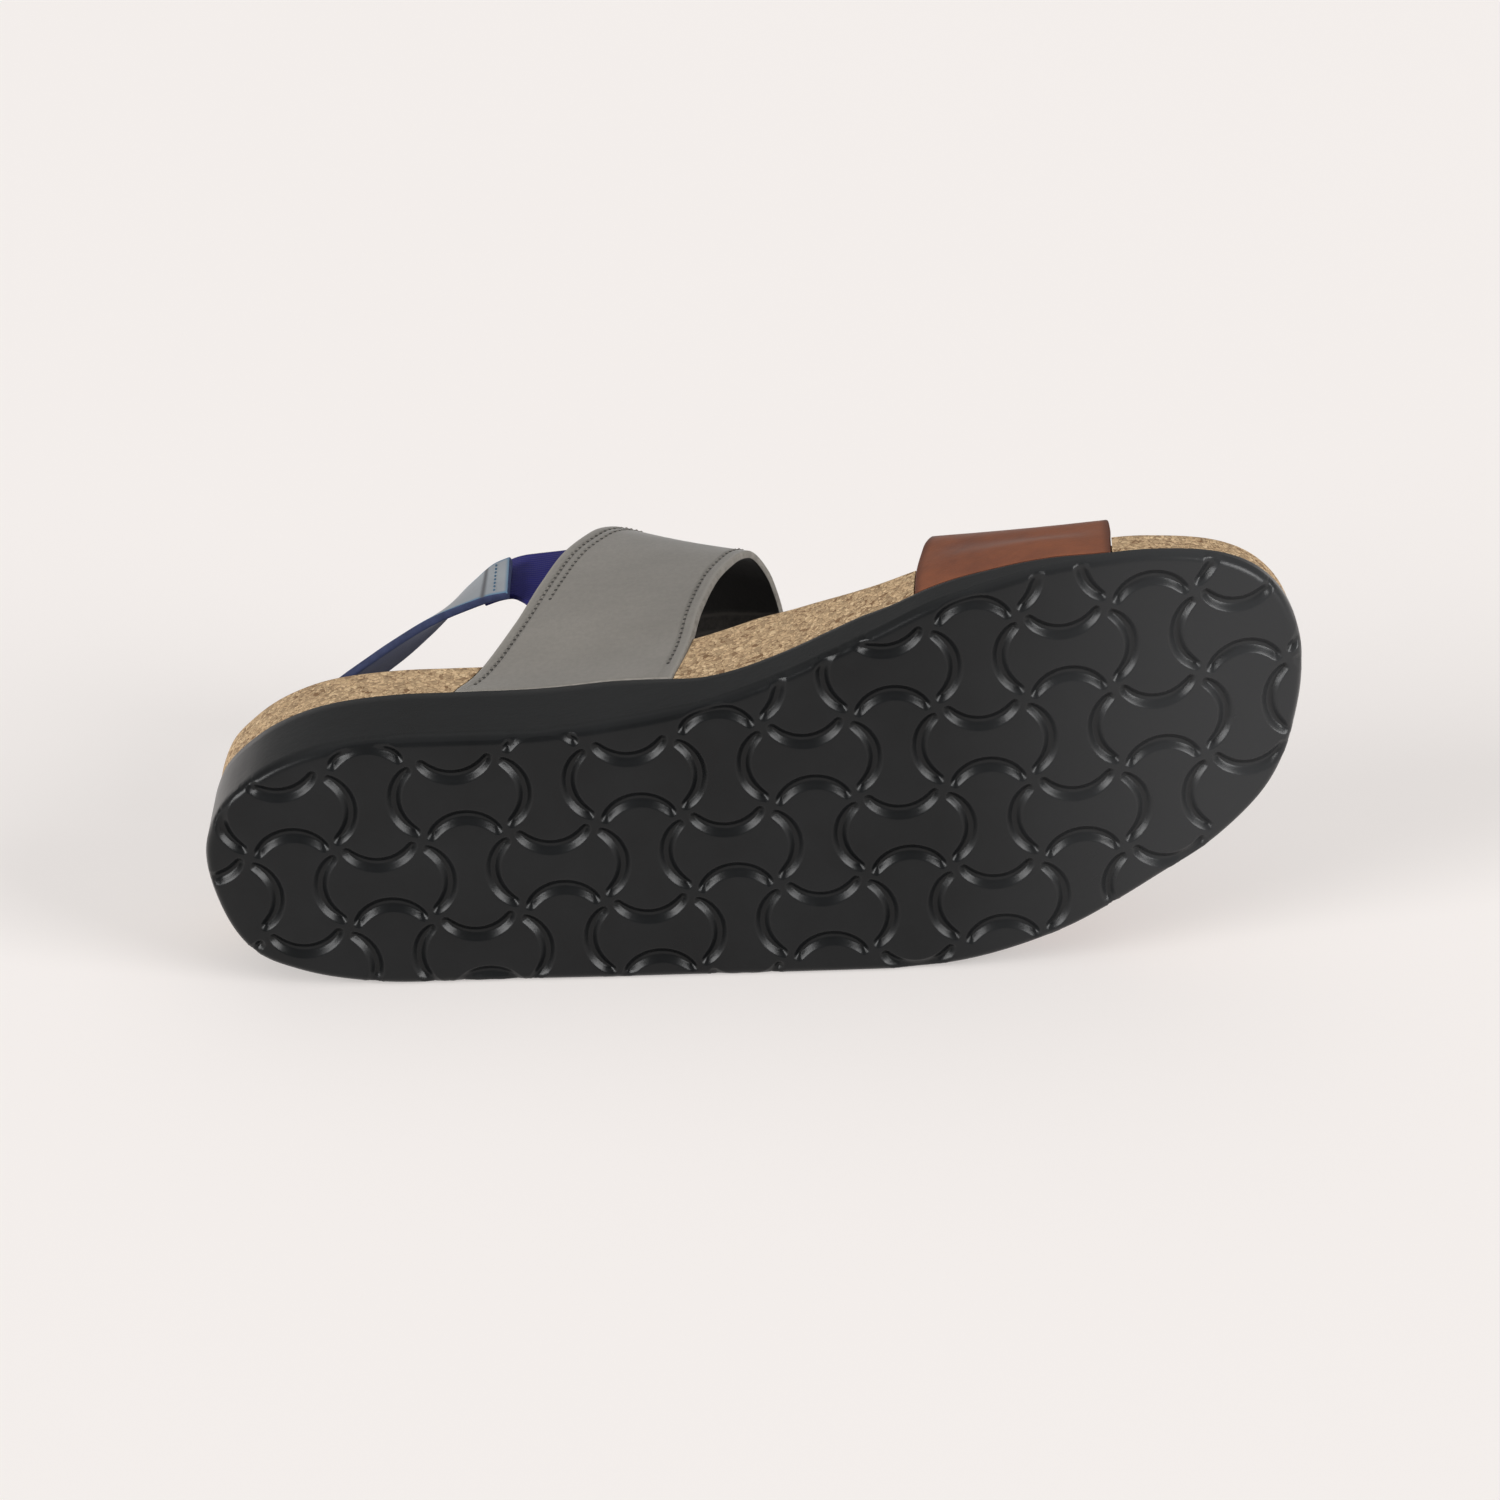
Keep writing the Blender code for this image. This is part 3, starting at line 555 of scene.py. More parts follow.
def respaced(points, count):
    """The same path with count points at even distances"""
    place = along_path(points)
    return at_place(points, place, np.linspace(0, place[-1], count))


def between(a, b, start, end, at):
    """The point for one value on the line that has a at its start and b at its end"""
    return (end - at) / (end - start) * a + (at - start) / (end - start) * b


def closed_curve(corners, steps):
    """A rounded closed curve through the corners"""
    found = []
    n = len(corners)
    for i in range(n):
        p = [corners[(i + k - 1) % n] for k in range(4)]
        t = [0.0]
        for a, b in zip(p, p[1:]):
            t.append(t[-1] + math.sqrt(max(float(np.linalg.norm(b - a)), 1e-9)))
        for s in np.linspace(t[1], t[2], steps, endpoint=False):
            first = [between(p[k], p[k + 1], t[k], t[k + 1], s) for k in range(3)]
            second = [between(first[k], first[k + 1], t[k], t[k + 2], s) for k in range(2)]
            found.append(between(second[0], second[1], t[1], t[2], s))
    return np.array(found)


def outline_ring(count):
    """The sole's outline as a closed ring that starts at the heel and goes up the inner side"""
    inner = [(row[0] * SOLE_LENGTH, row[1] * BALL_WIDTH) for row in OUTLINE]
    outer = [(row[0] * SOLE_LENGTH, row[2] * BALL_WIDTH) for row in OUTLINE]
    ring = closed_curve(np.array(inner + outer[::-1]), CURVE_STEPS)
    ring = respaced(np.vstack([ring, ring[:1]]), count + 1)[:-1]
    for _ in range(CURVE_SOFTENINGS):
        ring = (np.roll(ring, 1, axis=0) + 2 * ring + np.roll(ring, -1, axis=0)) / 4
    return np.roll(ring, -int(np.argmin(ring[:, 0])), axis=0)


def paired_ring(pairs):
    """The outline with as many points on the inner side as on the outer side, in pairs"""
    ring = outline_ring(RAIL_POINTS)
    toe = int(np.argmax(ring[:, 0]))
    inner = respaced(ring[: toe + 1], pairs + 1)
    outer = respaced(np.vstack([ring[toe:], ring[:1]]), pairs + 1)
    return np.vstack([inner, outer[1:-1]])


def inset(ring, distance):
    """The ring moved inwards"""
    run = np.roll(ring, -1, axis=0) - np.roll(ring, 1, axis=0)
    run /= np.linalg.norm(run, axis=1, keepdims=True)
    return ring + distance * np.stack([-run[:, 1], run[:, 0]], axis=-1)


PAIRS = 150
PAIRED = paired_ring(PAIRS)
INNER_RAIL = PAIRED[: PAIRS + 1]
OUTER_RAIL = np.vstack([PAIRED[:1], PAIRED[: PAIRS - 1 : -1]])


def inner_edge(x):
    """The outline's inner side along the sole"""
    return np.interp(x, INNER_RAIL[:, 0], INNER_RAIL[:, 1])


def outer_edge(x):
    """The outline's outer side along the sole"""
    return np.interp(x, OUTER_RAIL[:, 0], OUTER_RAIL[:, 1])


def height(index, x):
    """A height from the side's table, along the sole"""
    return RIM_HEIGHT * smooth(column(SIDE, 0), column(SIDE, index), np.asarray(x) / SOLE_LENGTH)


def lift(x):
    """How far the underside is off the ground"""
    share = np.asarray(x) / SOLE_LENGTH
    return RIM_HEIGHT * np.maximum(smooth(column(UNDERSIDE, 0), column(UNDERSIDE, 1), share), 0)


def bed_height(x, y):
    """The cork's surface in the foot's bed, under the lining"""
    share = np.clip((x - RIM_WIDTH) / (SOLE_LENGTH - 2 * RIM_WIDTH), 0, 1)
    low = inner_edge(x)
    high = outer_edge(x)
    half = np.maximum((high - low) / 2 - RIM_WIDTH, BED_HALF_LEAST)
    v = np.clip((y - (low + high) / 2) / half, -1, 1)
    k = (v + 1) / 2
    rim = height(CORK_INNER, x) * (1 - k) + height(CORK_OUTER, x) * k
    ends = np.minimum(1.0, np.minimum(share / BED_HEEL_FADE, (1 - share) / BED_TOE_FADE))
    bowl = (1 - np.abs(v) ** BED_SQUARENESS) * np.sin(0.5 * math.pi * ends)
    return rim - height(BED_DEPTH, x) * bowl - BED_STEP


def strap_face(table, top, us, vs):
    """The outer face of a strap: rows along its arch, columns from its rear to its front edge"""
    us = np.asarray(us, float)
    vs = np.asarray(vs, float)
    scale = np.array([SOLE_LENGTH, BALL_WIDTH, top])
    rows = np.array([[r[k] + r[k + 3] for k in range(3)] for r in table]) * scale
    place = along_path(rows)
    place = place / place[-1]
    rear, front = (
        np.stack([scale[k] * smooth(place, column(table, k + first), vs) for k in range(3)], -1)
        for first in (0, 3))
    grid = rear[:, None, :] + (front - rear)[:, None, :] * us[None, :, None]
    inner = (vs < 0.5)[:, None]

    def edge(x):
        return np.where(inner, inner_edge(x), outer_edge(x))

    x = grid[..., 0]
    chord = (1 - us)[None, :] * edge(rear[:, None, 0]) + us[None, :] * edge(front[:, None, 0])
    rim = np.where(inner, height(CORK_INNER, x), height(CORK_OUTER, x))
    fade = np.clip((FOLLOW_TOP * rim - grid[..., 2]) / (FOLLOW_STRETCH * rim), 0, 1)
    grid[..., 1] += (edge(x) - chord) * fade * fade * (3 - 2 * fade)
    return grid


def strap_grid(table, top, us, rows):
    """A strap's outer face from seam to seam, each column at even distances along the arch"""
    dense = strap_face(table, top, us, np.linspace(0, 1, STRAP_SAMPLES))
    columns = []
    for j in range(len(us)):
        path = dense[:, j]
        above = path[:, 2] > height(BLACK_TOP, path[:, 0]) + 2 * FIT_GAP + SEAM_CLEAR
        first = int(np.argmax(above))
        last = len(above) - 1 - int(np.argmax(above[::-1]))
        ends = []
        for index in (first, last):
            foot = path[index].copy()
            foot[2] = height(BLACK_TOP, foot[0]) + 2 * FIT_GAP
            ends.append(foot)
        columns.append(respaced(np.vstack([ends[:1], path[first:last + 1], ends[1:]]), rows))
    return np.stack(columns, axis=1)


def normals_of(grid):
    """Unit normals of a grid of points"""
    found = np.cross(np.gradient(grid, axis=0), np.gradient(grid, axis=1))
    return found / np.linalg.norm(found, axis=2, keepdims=True)


def strap_normals(grid):
    """Normals of a strap's arch that point away from the foot"""
    found = normals_of(grid)
    return -found if found[len(grid) // 2][0][2] < 0 else found


def tucked(grid, outer_end):
    """Moves the points of a band's end that lie under the instep strap to below its inner face"""
    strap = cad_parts["instep_strap"].data
    points = upright(np.array([tuple(v.co) for v in strap.vertices]))
    faces = [list(face.vertices) for face in strap.polygons]
    tree = BVHTree.FromPolygons([Vector(p) for p in points], faces)
    for index in np.ndindex(grid.shape[:2]):
        point = Vector(grid[index])
        if (point.y > 0) != outer_end:
            continue
        inward = Vector((0, -1 if point.y > 0 else 1, 0))
        under = tree.ray_cast(point + inward * TUCK_START, -inward, TUCK_SEARCH)[0]
        near = tree.find_nearest(point)[0]
        face = under or near
        weight = 1.0 if under else max(0.0, 1.0 - (near - point).length / TUCK_REACH)
        gap = (point - face).dot(inward)
        grid[index] = point + inward * max(0.0, TUCK_GAP - gap) * weight
    return grid


def band_face(table, width, steps, outer_end):
    """The outer face of a band that follows a path, and its normals away from the ankle"""
    path = np.array(table)[:, :3] * np.array([SOLE_LENGTH, BALL_WIDTH, INSTEP_HEIGHT])
    place = along_path(path)
    at = np.linspace(0, place[-1], steps[0] + 1)
    middle = np.stack([smooth(place, path[:, c], at) for c in range(3)], axis=-1)
    lean = np.radians(smooth(place, column(table, 3), at))
    wide = width * smooth(place, column(table, 4), at)
    ankle = np.array([*ANKLE, middle[0][2]])
    above = np.array([0.0, 0.0, 1.0])
    out = np.cross(np.gradient(middle, axis=0), above)
    out /= np.linalg.norm(out, axis=1, keepdims=True)
    flip = np.sum(out * (middle - ankle), axis=1, keepdims=True) < 0
    out = np.where(flip, -out, out)
    rise = above * np.cos(lean)[:, None] - out * np.sin(lean)[:, None]
    across = np.linspace(-0.5, 0.5, steps[1] + 1)
    grid = middle[:, None, :] + rise[:, None, :] * wide[:, None, None] * across[None, :, None]
    grid = tucked(grid, outer_end)
    normals = normals_of(grid)
    if np.dot(normals[0][0], grid[0][0] - ankle) < 0:
        normals = -normals
    return grid, normals


def pick(obj):
    """Selects one object alone"""
    bpy.ops.object.select_all(action="DESELECT")
    obj.select_set(True)
    bpy.context.view_layer.objects.active = obj


def apply_modifiers(obj):
    """Applies all of an object's modifiers, first to last"""
    pick(obj)
    for modifier in list(obj.modifiers):
        bpy.ops.object.modifier_apply(modifier=modifier.name)


def rounded(obj, angle):
    """Shades an object smooth where its faces meet at less than some degrees"""
    pick(obj)
    bpy.ops.object.shade_smooth_by_angle(angle=math.radians(angle))


def grid_piece(name, grid, away, values=None):
    """A grid primitive whose points are laid on the given ones, faces turned away from a point"""
    rows, cols = grid.shape[:2]
    bpy.ops.object.select_all(action="DESELECT")
    bpy.ops.mesh.primitive_grid_add(x_subdivisions=cols - 1, y_subdivisions=rows - 1, size=2.0)
    obj = bpy.context.object
    obj.name = name
    mesh = obj.data
    mesh.name = name
    flat = np.empty(len(mesh.vertices) * 3)
    mesh.vertices.foreach_get("co", flat)
    flat = flat.reshape(-1, 3)
    if len(flat) != rows * cols:
        raise RuntimeError("the grid of %s has %d points, not %d" % (name, len(flat), rows * cols))
    j = np.rint((flat[:, 0] + 1) / 2 * (cols - 1)).astype(int)
    i = np.rint((flat[:, 1] + 1) / 2 * (rows - 1)).astype(int)
    mesh.vertices.foreach_set("co", lying(grid[i, j]).ravel())
    for key, value in (values or {}).items():
        layer = mesh.attributes.new(key, "FLOAT", "POINT")
        layer.data.foreach_set("value", value[i, j].ravel())
    mesh.update()
    centre = Vector(lying(away))
    facing = sum((Vector(f.center) - centre).dot(f.normal) * f.area for f in mesh.polygons)
    if facing < 0:
        pick(obj)
        bpy.ops.object.mode_set(mode="EDIT")
        bpy.ops.mesh.select_all(action="SELECT")
        bpy.ops.mesh.flip_normals()
        bpy.ops.object.mode_set(mode="OBJECT")
    return obj


def leather(obj, thickness, radius, materials):
    """Gives a sheet its thickness and rounded cut edges: outer face, inner face and rim"""
    for material in materials:
        obj.data.materials.append(material)
    wall = obj.modifiers.new("wall", "SOLIDIFY")
    wall.thickness = thickness
    wall.offset = -1
    wall.use_even_offset = True
    wall.material_offset = 1
    wall.material_offset_rim = 2
    soft = obj.modifiers.new("soft edge", "BEVEL")
    soft.limit_method = "ANGLE"
    soft.angle_limit = math.radians(LEATHER_CORNER)
    soft.width = radius
    soft.segments = LEATHER_SEGMENTS
    apply_modifiers(obj)
    bpy.ops.object.shade_smooth()
    return obj


def body_from(name, mesh, materials):
    """A finished object from a mesh in code, closed and with its faces outwards"""
    bmesh.ops.recalc_face_normals(mesh, faces=mesh.faces)
    data = bpy.data.meshes.new(name)
    mesh.to_mesh(data)
    mesh.free()
    obj = bpy.data.objects.new(name, data)
    bpy.context.scene.collection.objects.link(obj)
    for material in materials:
        data.materials.append(material)
    return obj


def ladder(mesh, ring, columns, surface):
    """Closes a paired ring with rungs from its inner to its outer side, at a surface's height"""
    half = len(ring) // 2
    rows = []
    for i in range(1, half):
        a = upright(ring[i].co)
        b = upright(ring[-i].co)
        row = [ring[i]]
        for k in range(1, columns):
            p = a + (b - a) * k / columns
            p[2] = float(surface(p[0], p[1]))
            row.append(mesh.verts.new(lying(p)))
        row.append(ring[-i])
        rows.append(row)
    for row, after in zip(rows, rows[1:]):
        for k in range(columns):
            mesh.faces.new((row[k], row[k + 1], after[k + 1], after[k]))
    for tip, row in ((ring[0], rows[0]), (ring[half], rows[-1])):
        for k in range(columns):
            mesh.faces.new((tip, row[k], row[k + 1]))


def strip(mesh, lower, upper):
    """Joins two closed rings of points by faces"""
    for i in range(len(lower)):
        k = (i + 1) % len(lower)
        mesh.faces.new((lower[i], lower[k], upper[k], upper[i]))


def stacked(name, loops, columns, low, high, materials):
    """A closed body from rings of points, one above the other, with a ladder on both ends"""
    mesh = bmesh.new()
    rings = [[mesh.verts.new(p) for p in lying(loop)] for loop in loops]
    for lower, upper in zip(rings, rings[1:]):
        strip(mesh, lower, upper)
    ladder(mesh, rings[0], columns, low)
    ladder(mesh, rings[-1], columns, high)
    return body_from(name, mesh, materials)


def net_point(i, j):
    """Where row j of the tread's net crosses its column i"""
    u = i * TREAD_PITCH_ALONG
    v = j * TREAD_PITCH_ACROSS
    c = math.cos(TREAD_TURN)
    s = math.sin(TREAD_TURN)
    return np.array([TREAD_START_X + u * c - v * s, TREAD_START_Y + u * s + v * c])


def crescents():
    """The tread's crescents that touch the sole: middle of the chord, run, bulge and half length"""
    found = []
    for i, j in itertools.product(TREAD_COLUMNS, TREAD_ROWS):
        here = net_point(i, j)
        ends = (net_point(i + 1, j), net_point(i, j + 1))
        sign = 1 if (i + j) % 2 == 0 else -1
        for other, aside, turn in ((ends[0], ends[1], -sign), (ends[1], ends[0], sign)):
            middle = (here + other) / 2
            low = inner_edge(middle[0]) - TREAD_ROOM
            high = outer_edge(middle[0]) + TREAD_ROOM
            if not (TREAD_HEEL < middle[0] / SOLE_LENGTH < TREAD_TOE and low < middle[1] < high):
                continue
            run = (other - here) / np.linalg.norm(other - here)
            bulge = (aside - here) / np.linalg.norm(aside - here) * turn
            half = np.linalg.norm(other - here) / 2 - CRESCENT_END
            found.append((middle, run, bulge, half))
    return found


def groove_arc(crescent):
    """The circle that the middle of a crescent's groove follows: centre, radius, half its length"""
    middle, _, bulge, half = crescent
    radius = (half * half + GROOVE_MIDDLE * GROOVE_MIDDLE) / (2 * GROOVE_MIDDLE)
    return middle + bulge * (GROOVE_MIDDLE - radius), radius, radius * math.asin(half / radius)


def groove_contour(crescent, inside, count):
    """The crescent's outline moved inwards by some distance, or outwards where it is below 0"""
    centre, radius, reach = groove_arc(crescent)
    run, bulge = crescent[1:3]
    turn = np.linspace(0, 2 * math.pi, 20 * count + 1)
    along = (reach - inside) * np.cos(turn)
    wide = np.sign(np.sin(turn)) * (GROOVE_HALF - inside) * np.abs(np.sin(turn)) ** (2 * GROOVE_BLUNT)
    walked = np.concatenate([[0], np.cumsum(np.hypot(np.diff(along), np.diff(wide)))])
    even = np.linspace(0, walked[-1], count, endpoint=False)
    angle = np.interp(even, walked, along) / radius
    away = radius + np.interp(even, walked, wide)
    return centre + (away * np.sin(angle))[:, None] * run + (away * np.cos(angle))[:, None] * bulge


def groove_depth(points, grooves, sole):
    """Depth of the tread's grooves under each point of the plan"""
    depth = np.zeros(len(points))
    lip = sole.groove_lip
    for crescent in grooves:
        centre, radius, reach = groove_arc(crescent)
        local = points - centre
        a = radius * np.arctan2(local @ crescent[1], local @ crescent[2])
        e = np.abs(np.linalg.norm(local, axis=1) - radius)
        near = np.nonzero((np.abs(a) < reach + lip) & (e < GROOVE_HALF + lip))[0]
        if not len(near):
            continue
        a = a[near]
        e = e[near]
        low = np.full(len(near), -lip)
        high = np.full(len(near), GROOVE_HALF)
        for _ in range(GROOVE_HALVINGS):
            d = (low + high) / 2
            room = np.clip(1 - (a / (reach - d)) ** 2, 0, 1) ** GROOVE_BLUNT
            inside = (GROOVE_HALF - d) * room > e
            low = np.where(inside, d, low)
            high = np.where(inside, high, d)
        share = np.clip((low + lip) / (lip + sole.groove_wall), 0, 1)
        top = share ** 2 / (2 * GROOVE_SOFT)
        foot = 1 - GROOVE_SOFT - (1 - share) ** 2 / (2 * GROOVE_SOFT)
        fall = np.where(share > 1 - GROOVE_SOFT, foot, share - GROOVE_SOFT / 2)
        fall = np.where(share < GROOVE_SOFT, top, fall) / (1 - GROOVE_SOFT)
        depth[near] = np.maximum(depth[near], sole.groove_depth * fall)
    return depth


def inside_ring(points, ring):
    """Which points lie within a closed ring"""
    found = np.zeros(len(points), bool)
    x, y = points[:, 0], points[:, 1]
    for a, b in zip(ring, np.roll(ring, -1, axis=0)):
        crosses = (a[1] > y) != (b[1] > y)
        if a[1] != b[1]:
            found ^= crosses & (x < (b[0] - a[0]) * (y - a[1]) / (b[1] - a[1]) + a[0])
    return found


def ring_distance(points, ring):
    """Distance of each point to a closed ring"""
    found = np.full(len(points), 1.0)
    for a, b in zip(ring, np.roll(ring, -1, axis=0)):
        run = b - a
        k = np.clip((points - a) @ run / (run @ run), 0, 1)
        away = np.linalg.norm(points - a - k[:, None] * run, axis=1)
        found = np.minimum(found, away)
    return found


def fill_points(ring, spacing, margin):
    """Points on a square net inside a ring, some way off its edge"""
    xs, ys = (np.arange(ring[:, k].min(), ring[:, k].max(), spacing) for k in (0, 1))
    net = np.array(list(itertools.product(xs, ys)))
    net = net[inside_ring(net, ring)]
    return net[ring_distance(net, ring) > margin]


def meshed(loops, loose, border):
    """Triangles of the plan within the border that keep to the loops' lines"""
    points = []
    edges = []
    for loop in loops:
        base = len(points)
        points += [Vector(p) for p in loop]
        edges += [(base + k, base + (k + 1) % len(loop)) for k in range(len(loop))]
    points += [Vector(p) for p in loose]
    out = delaunay_2d_cdt(points, edges, [], 0, SAME_POINT)
    plan = np.array([tuple(p) for p in out[0]])
    faces = [f for f in out[2] if len(f) == 3]
    centres = plan[np.array(faces)].mean(axis=1)
    keep = inside_ring(centres, border)
    return plan, [f for f, k in zip(faces, keep) if k], out[3]


def underside(sole):
    """Plan, faces and heights of the sole's underside with its rounded edge and its grooves"""
    ring = outline_ring(RIM_POINTS)
    radius = sole.ground_edge
    loops = [inset(ring, radius * k) for k in GROUND_RINGS]
    grooves = crescents()
    lip = sole.groove_lip
    for crescent, share in itertools.product(grooves, GROOVE_RINGS):
        loops.append(groove_contour(crescent, -lip + share * (lip + sole.groove_wall), GROOVE_POINTS))
    plan, faces, _ = meshed(loops, fill_points(ring, *UNDERSIDE_NET), ring)
    away = ring_distance(plan, ring)
    edge = np.clip(1 - away / radius, 0, 1)
    rounding = radius * (1 - np.sqrt(1 - edge * edge))
    inland = np.clip(away / GROOVE_FADE, 0, 1)
    fade = GROOVE_AT_RIM + (1 - GROOVE_AT_RIM) * inland * inland * (3 - 2 * inland)
    return plan, faces, lift(plan[:, 0]) + rounding + groove_depth(plan, grooves, sole) * fade


def sole_mesh(sole):
    """The moulded sole: grooved underside, wall with a soft upper edge, and a plain top"""
    mesh = bmesh.new()
    plan, faces, up = underside(sole)
    used = sorted({k for f in faces for k in f})
    verts = {k: mesh.verts.new((plan[k][0], plan[k][1], up[k])) for k in used}
    for f in faces:
        mesh.faces.new([verts[k] for k in reversed(f)])
    last = ordered_ring([e for e in mesh.edges if len(e.link_faces) == 1])
    around = np.array([(v.co.x, v.co.y) for v in last])
    bottom = np.array([v.co.z for v in last])
    top = height(BLACK_TOP, around[:, 0])
    for share, inwards, down in WALL_RINGS:
        plan_ring = even_inset(around, inwards)
        level = bottom + (top - down - bottom) * share
        fresh = [mesh.verts.new((p[0], p[1], z)) for p, z in zip(plan_ring, level)]
        strip(mesh, last, fresh)
        last = fresh
    edge_ring = np.array([(v.co.x, v.co.y) for v in last])
    plan, faces, sources = meshed([edge_ring], fill_points(edge_ring, *TOP_NET), edge_ring)
    level = height(BLACK_TOP, plan[:, 0])
    cap = []
    for p, z, source in zip(plan, level, sources):
        known = [k for k in source if k < len(last)]
        cap.append(last[known[0]] if known else mesh.verts.new((p[0], p[1], z)))
    for f in faces:
        corners = [cap[k] for k in f]
        if len(set(corners)) == 3:
            mesh.faces.new(corners)
    for v in mesh.verts:
        v.co = Vector(lying(v.co))
    return mesh


def ordered_ring(edges):
    """The points of a closed ring of edges, one after the other, inner side first"""
    links = {}
    for e in edges:
        for a, b in (e.verts, reversed(e.verts)):
            links.setdefault(a, []).append(b)
    if any(len(others) != 2 for others in links.values()):
        raise RuntimeError("the sole's rim is not one clean ring")
    start = min(links, key=lambda v: v.co.x)
    after = min(links[start], key=lambda v: v.co.y)
    ring = [start, after]
    while True:
        a, b = ring[-2], ring[-1]
        following = [v for v in links[b] if v is not a][0]
        if following is start:
            break
        ring.append(following)
    if len(ring) != len(links):
        raise RuntimeError("the sole's rim has a second ring")
    return ring


def even_inset(around, distance):
    """Moves the uneven rim points inwards by the outline's own direction"""
    if distance == 0:
        return around
    ring = outline_ring(RIM_POINTS)
    moved = inset(ring, distance)
    nearest = np.array([int(np.argmin(np.sum((ring - p) ** 2, axis=1))) for p in around])
    return around + moved[nearest] - ring[nearest]


def rgba(colour):
    """A colour's three parts, kept below 1, with full opacity"""
    return (*(min(part, 1.0) for part in colour[:3]), 1.0)


def scaled(colour, share):
    """A lighter or darker colour, each part kept below 1"""
    return tuple(min(part * share, 1.0) for part in colour[:3])


def feed(tree, socket, value):
    """Links a socket to another node's output, or sets its own value"""
    if isinstance(value, bpy.types.NodeSocket):
        tree.links.new(value, socket)
    else:
        socket.default_value = rgba(value) if socket.type == "RGBA" else value


def node(tree, kind, inputs=None, **settings):
    """A node with its settings; each of its inputs gets a value or another node's output"""
    item = tree.nodes.new(kind)
    for key, value in settings.items():
        setattr(item, key, value)
    for key, value in (inputs or {}).items():
        feed(tree, item.inputs[key], value)
    return item


def computed(tree, operation, *values):
    """The result of a Math node"""
    return node(tree, "ShaderNodeMath", dict(enumerate(values)), operation=operation).outputs[0]


def spread(tree, value, low, high, to_low=0.0, to_high=1.0, easing="LINEAR"):
    """A value brought from one range to another and kept within it"""
    ends = {"From Min": low, "From Max": high, "To Min": to_low, "To Max": to_high}
    item = node(tree, "ShaderNodeMapRange", {"Value": value, **ends}, interpolation_type=easing)
    return item.outputs["Result"]


def blended(tree, mask, first, second, mode="MIX"):
    """Mixes two colours or colour outputs by a mask"""
    inputs = {MIX_MASK: mask, MIX_FIRST: first, MIX_SECOND: second}
    return node(tree, "ShaderNodeMix", inputs, data_type="RGBA", blend_type=mode).outputs[MIX_RESULT]


def new_group(name, inputs, outputs):
    """An empty shader node group with named sockets; returns it with its own inputs and outputs"""
    tree = bpy.data.node_groups.new(name, "ShaderNodeTree")
    for key, kind, default in inputs:
        socket = tree.interface.new_socket(name=key, in_out="INPUT", socket_type="NodeSocket" + kind)
        if default is not None:
            socket.default_value = default
    for key, kind in outputs:
        tree.interface.new_socket(name=key, in_out="OUTPUT", socket_type="NodeSocket" + kind)
    return tree, node(tree, "NodeGroupInput").outputs, node(tree, "NodeGroupOutput").inputs


@cache
def mottle_group():
    """Two colours that run into each other in soft patches"""
    tree, given, result = new_group(
        "Soft Mottle",
        [("Vector", "Vector", None), ("Scale", "Float", 60.0),
         ("First", "Color", None), ("Second", "Color", None)],
        [("Color", "Color"), ("Mask", "Float")])
    noise = node(tree, "ShaderNodeTexNoise", {
        "Vector": given["Vector"], "Scale": given["Scale"], "Detail": 5.0, "Roughness": 0.62})
    mask = spread(tree, noise.outputs["Fac"], 0.32, 0.68)
    feed(tree, result["Color"], blended(tree, mask, given["First"], given["Second"]))
    feed(tree, result["Mask"], mask)
    return tree


@cache
def grain_group():
    """Height of a leather-like grain: rounded cells with a finer roughness on them"""
    tree, given, result = new_group(
        "Surface Grain",
        [("Vector", "Vector", None), ("Cells", "Float", 1500.0),
         ("Fibres", "Float", 4000.0), ("Fibre Share", "Float", 0.5)],
        [("Height", "Float")])
    cells = node(tree, "ShaderNodeTexVoronoi", {
        "Vector": given["Vector"], "Scale": given["Cells"], "Smoothness": 0.35}, feature="SMOOTH_F1")
    fibres = node(tree, "ShaderNodeTexNoise", {
        "Vector": given["Vector"], "Scale": given["Fibres"], "Detail": 3.0, "Roughness": 0.6})
    mix = node(tree, "ShaderNodeMix", {
        0: given["Fibre Share"], 2: cells.outputs["Distance"], 3: fibres.outputs["Fac"]}, data_type="FLOAT")
    feed(tree, result["Height"], mix.outputs[0])
    return tree


@cache
def seam_group():
    """Mask of a line at some distance from an edge, soft on both sides"""
    tree, given, result = new_group(
        "Seam Line",
        [("Gap", "Float", 0.0), ("Place", "Float", 0.003), ("Width", "Float", 0.0008)],
        [("Mask", "Float")])
    away = computed(tree, "ABSOLUTE", computed(tree, "SUBTRACT", given["Gap"], given["Place"]))
    share = computed(tree, "DIVIDE", away, given["Width"])
    feed(tree, result["Mask"], spread(tree, share, 0.0, 1.0, 1.0, 0.0, "SMOOTHSTEP"))
    return tree


def mottled(tree, where, scale, first, second):
    """Soft patches of two colours: the colour and the patches' mask"""
    inputs = {"Vector": where, "Scale": scale, "First": first, "Second": second}
    item = node(tree, "ShaderNodeGroup", inputs, node_tree=mottle_group())
    return item.outputs["Color"], item.outputs["Mask"]


def grained(tree, where, cells, fibres, share):
    """Height of a grain with so many cells and fibres per metre"""
    inputs = {"Vector": where, "Cells": cells, "Fibres": fibres, "Fibre Share": share}
    return node(tree, "ShaderNodeGroup", inputs, node_tree=grain_group()).outputs["Height"]


def seam(tree, gap, place, width):
    """Mask of a line that runs where a distance has one value"""
    inputs = {"Gap": gap, "Place": place, "Width": width}
    return node(tree, "ShaderNodeGroup", inputs, node_tree=seam_group()).outputs["Mask"]


def attribute(tree, name):
    """A value that the piece's points carry"""
    return node(tree, "ShaderNodeAttribute", attribute_name=name).outputs["Fac"]


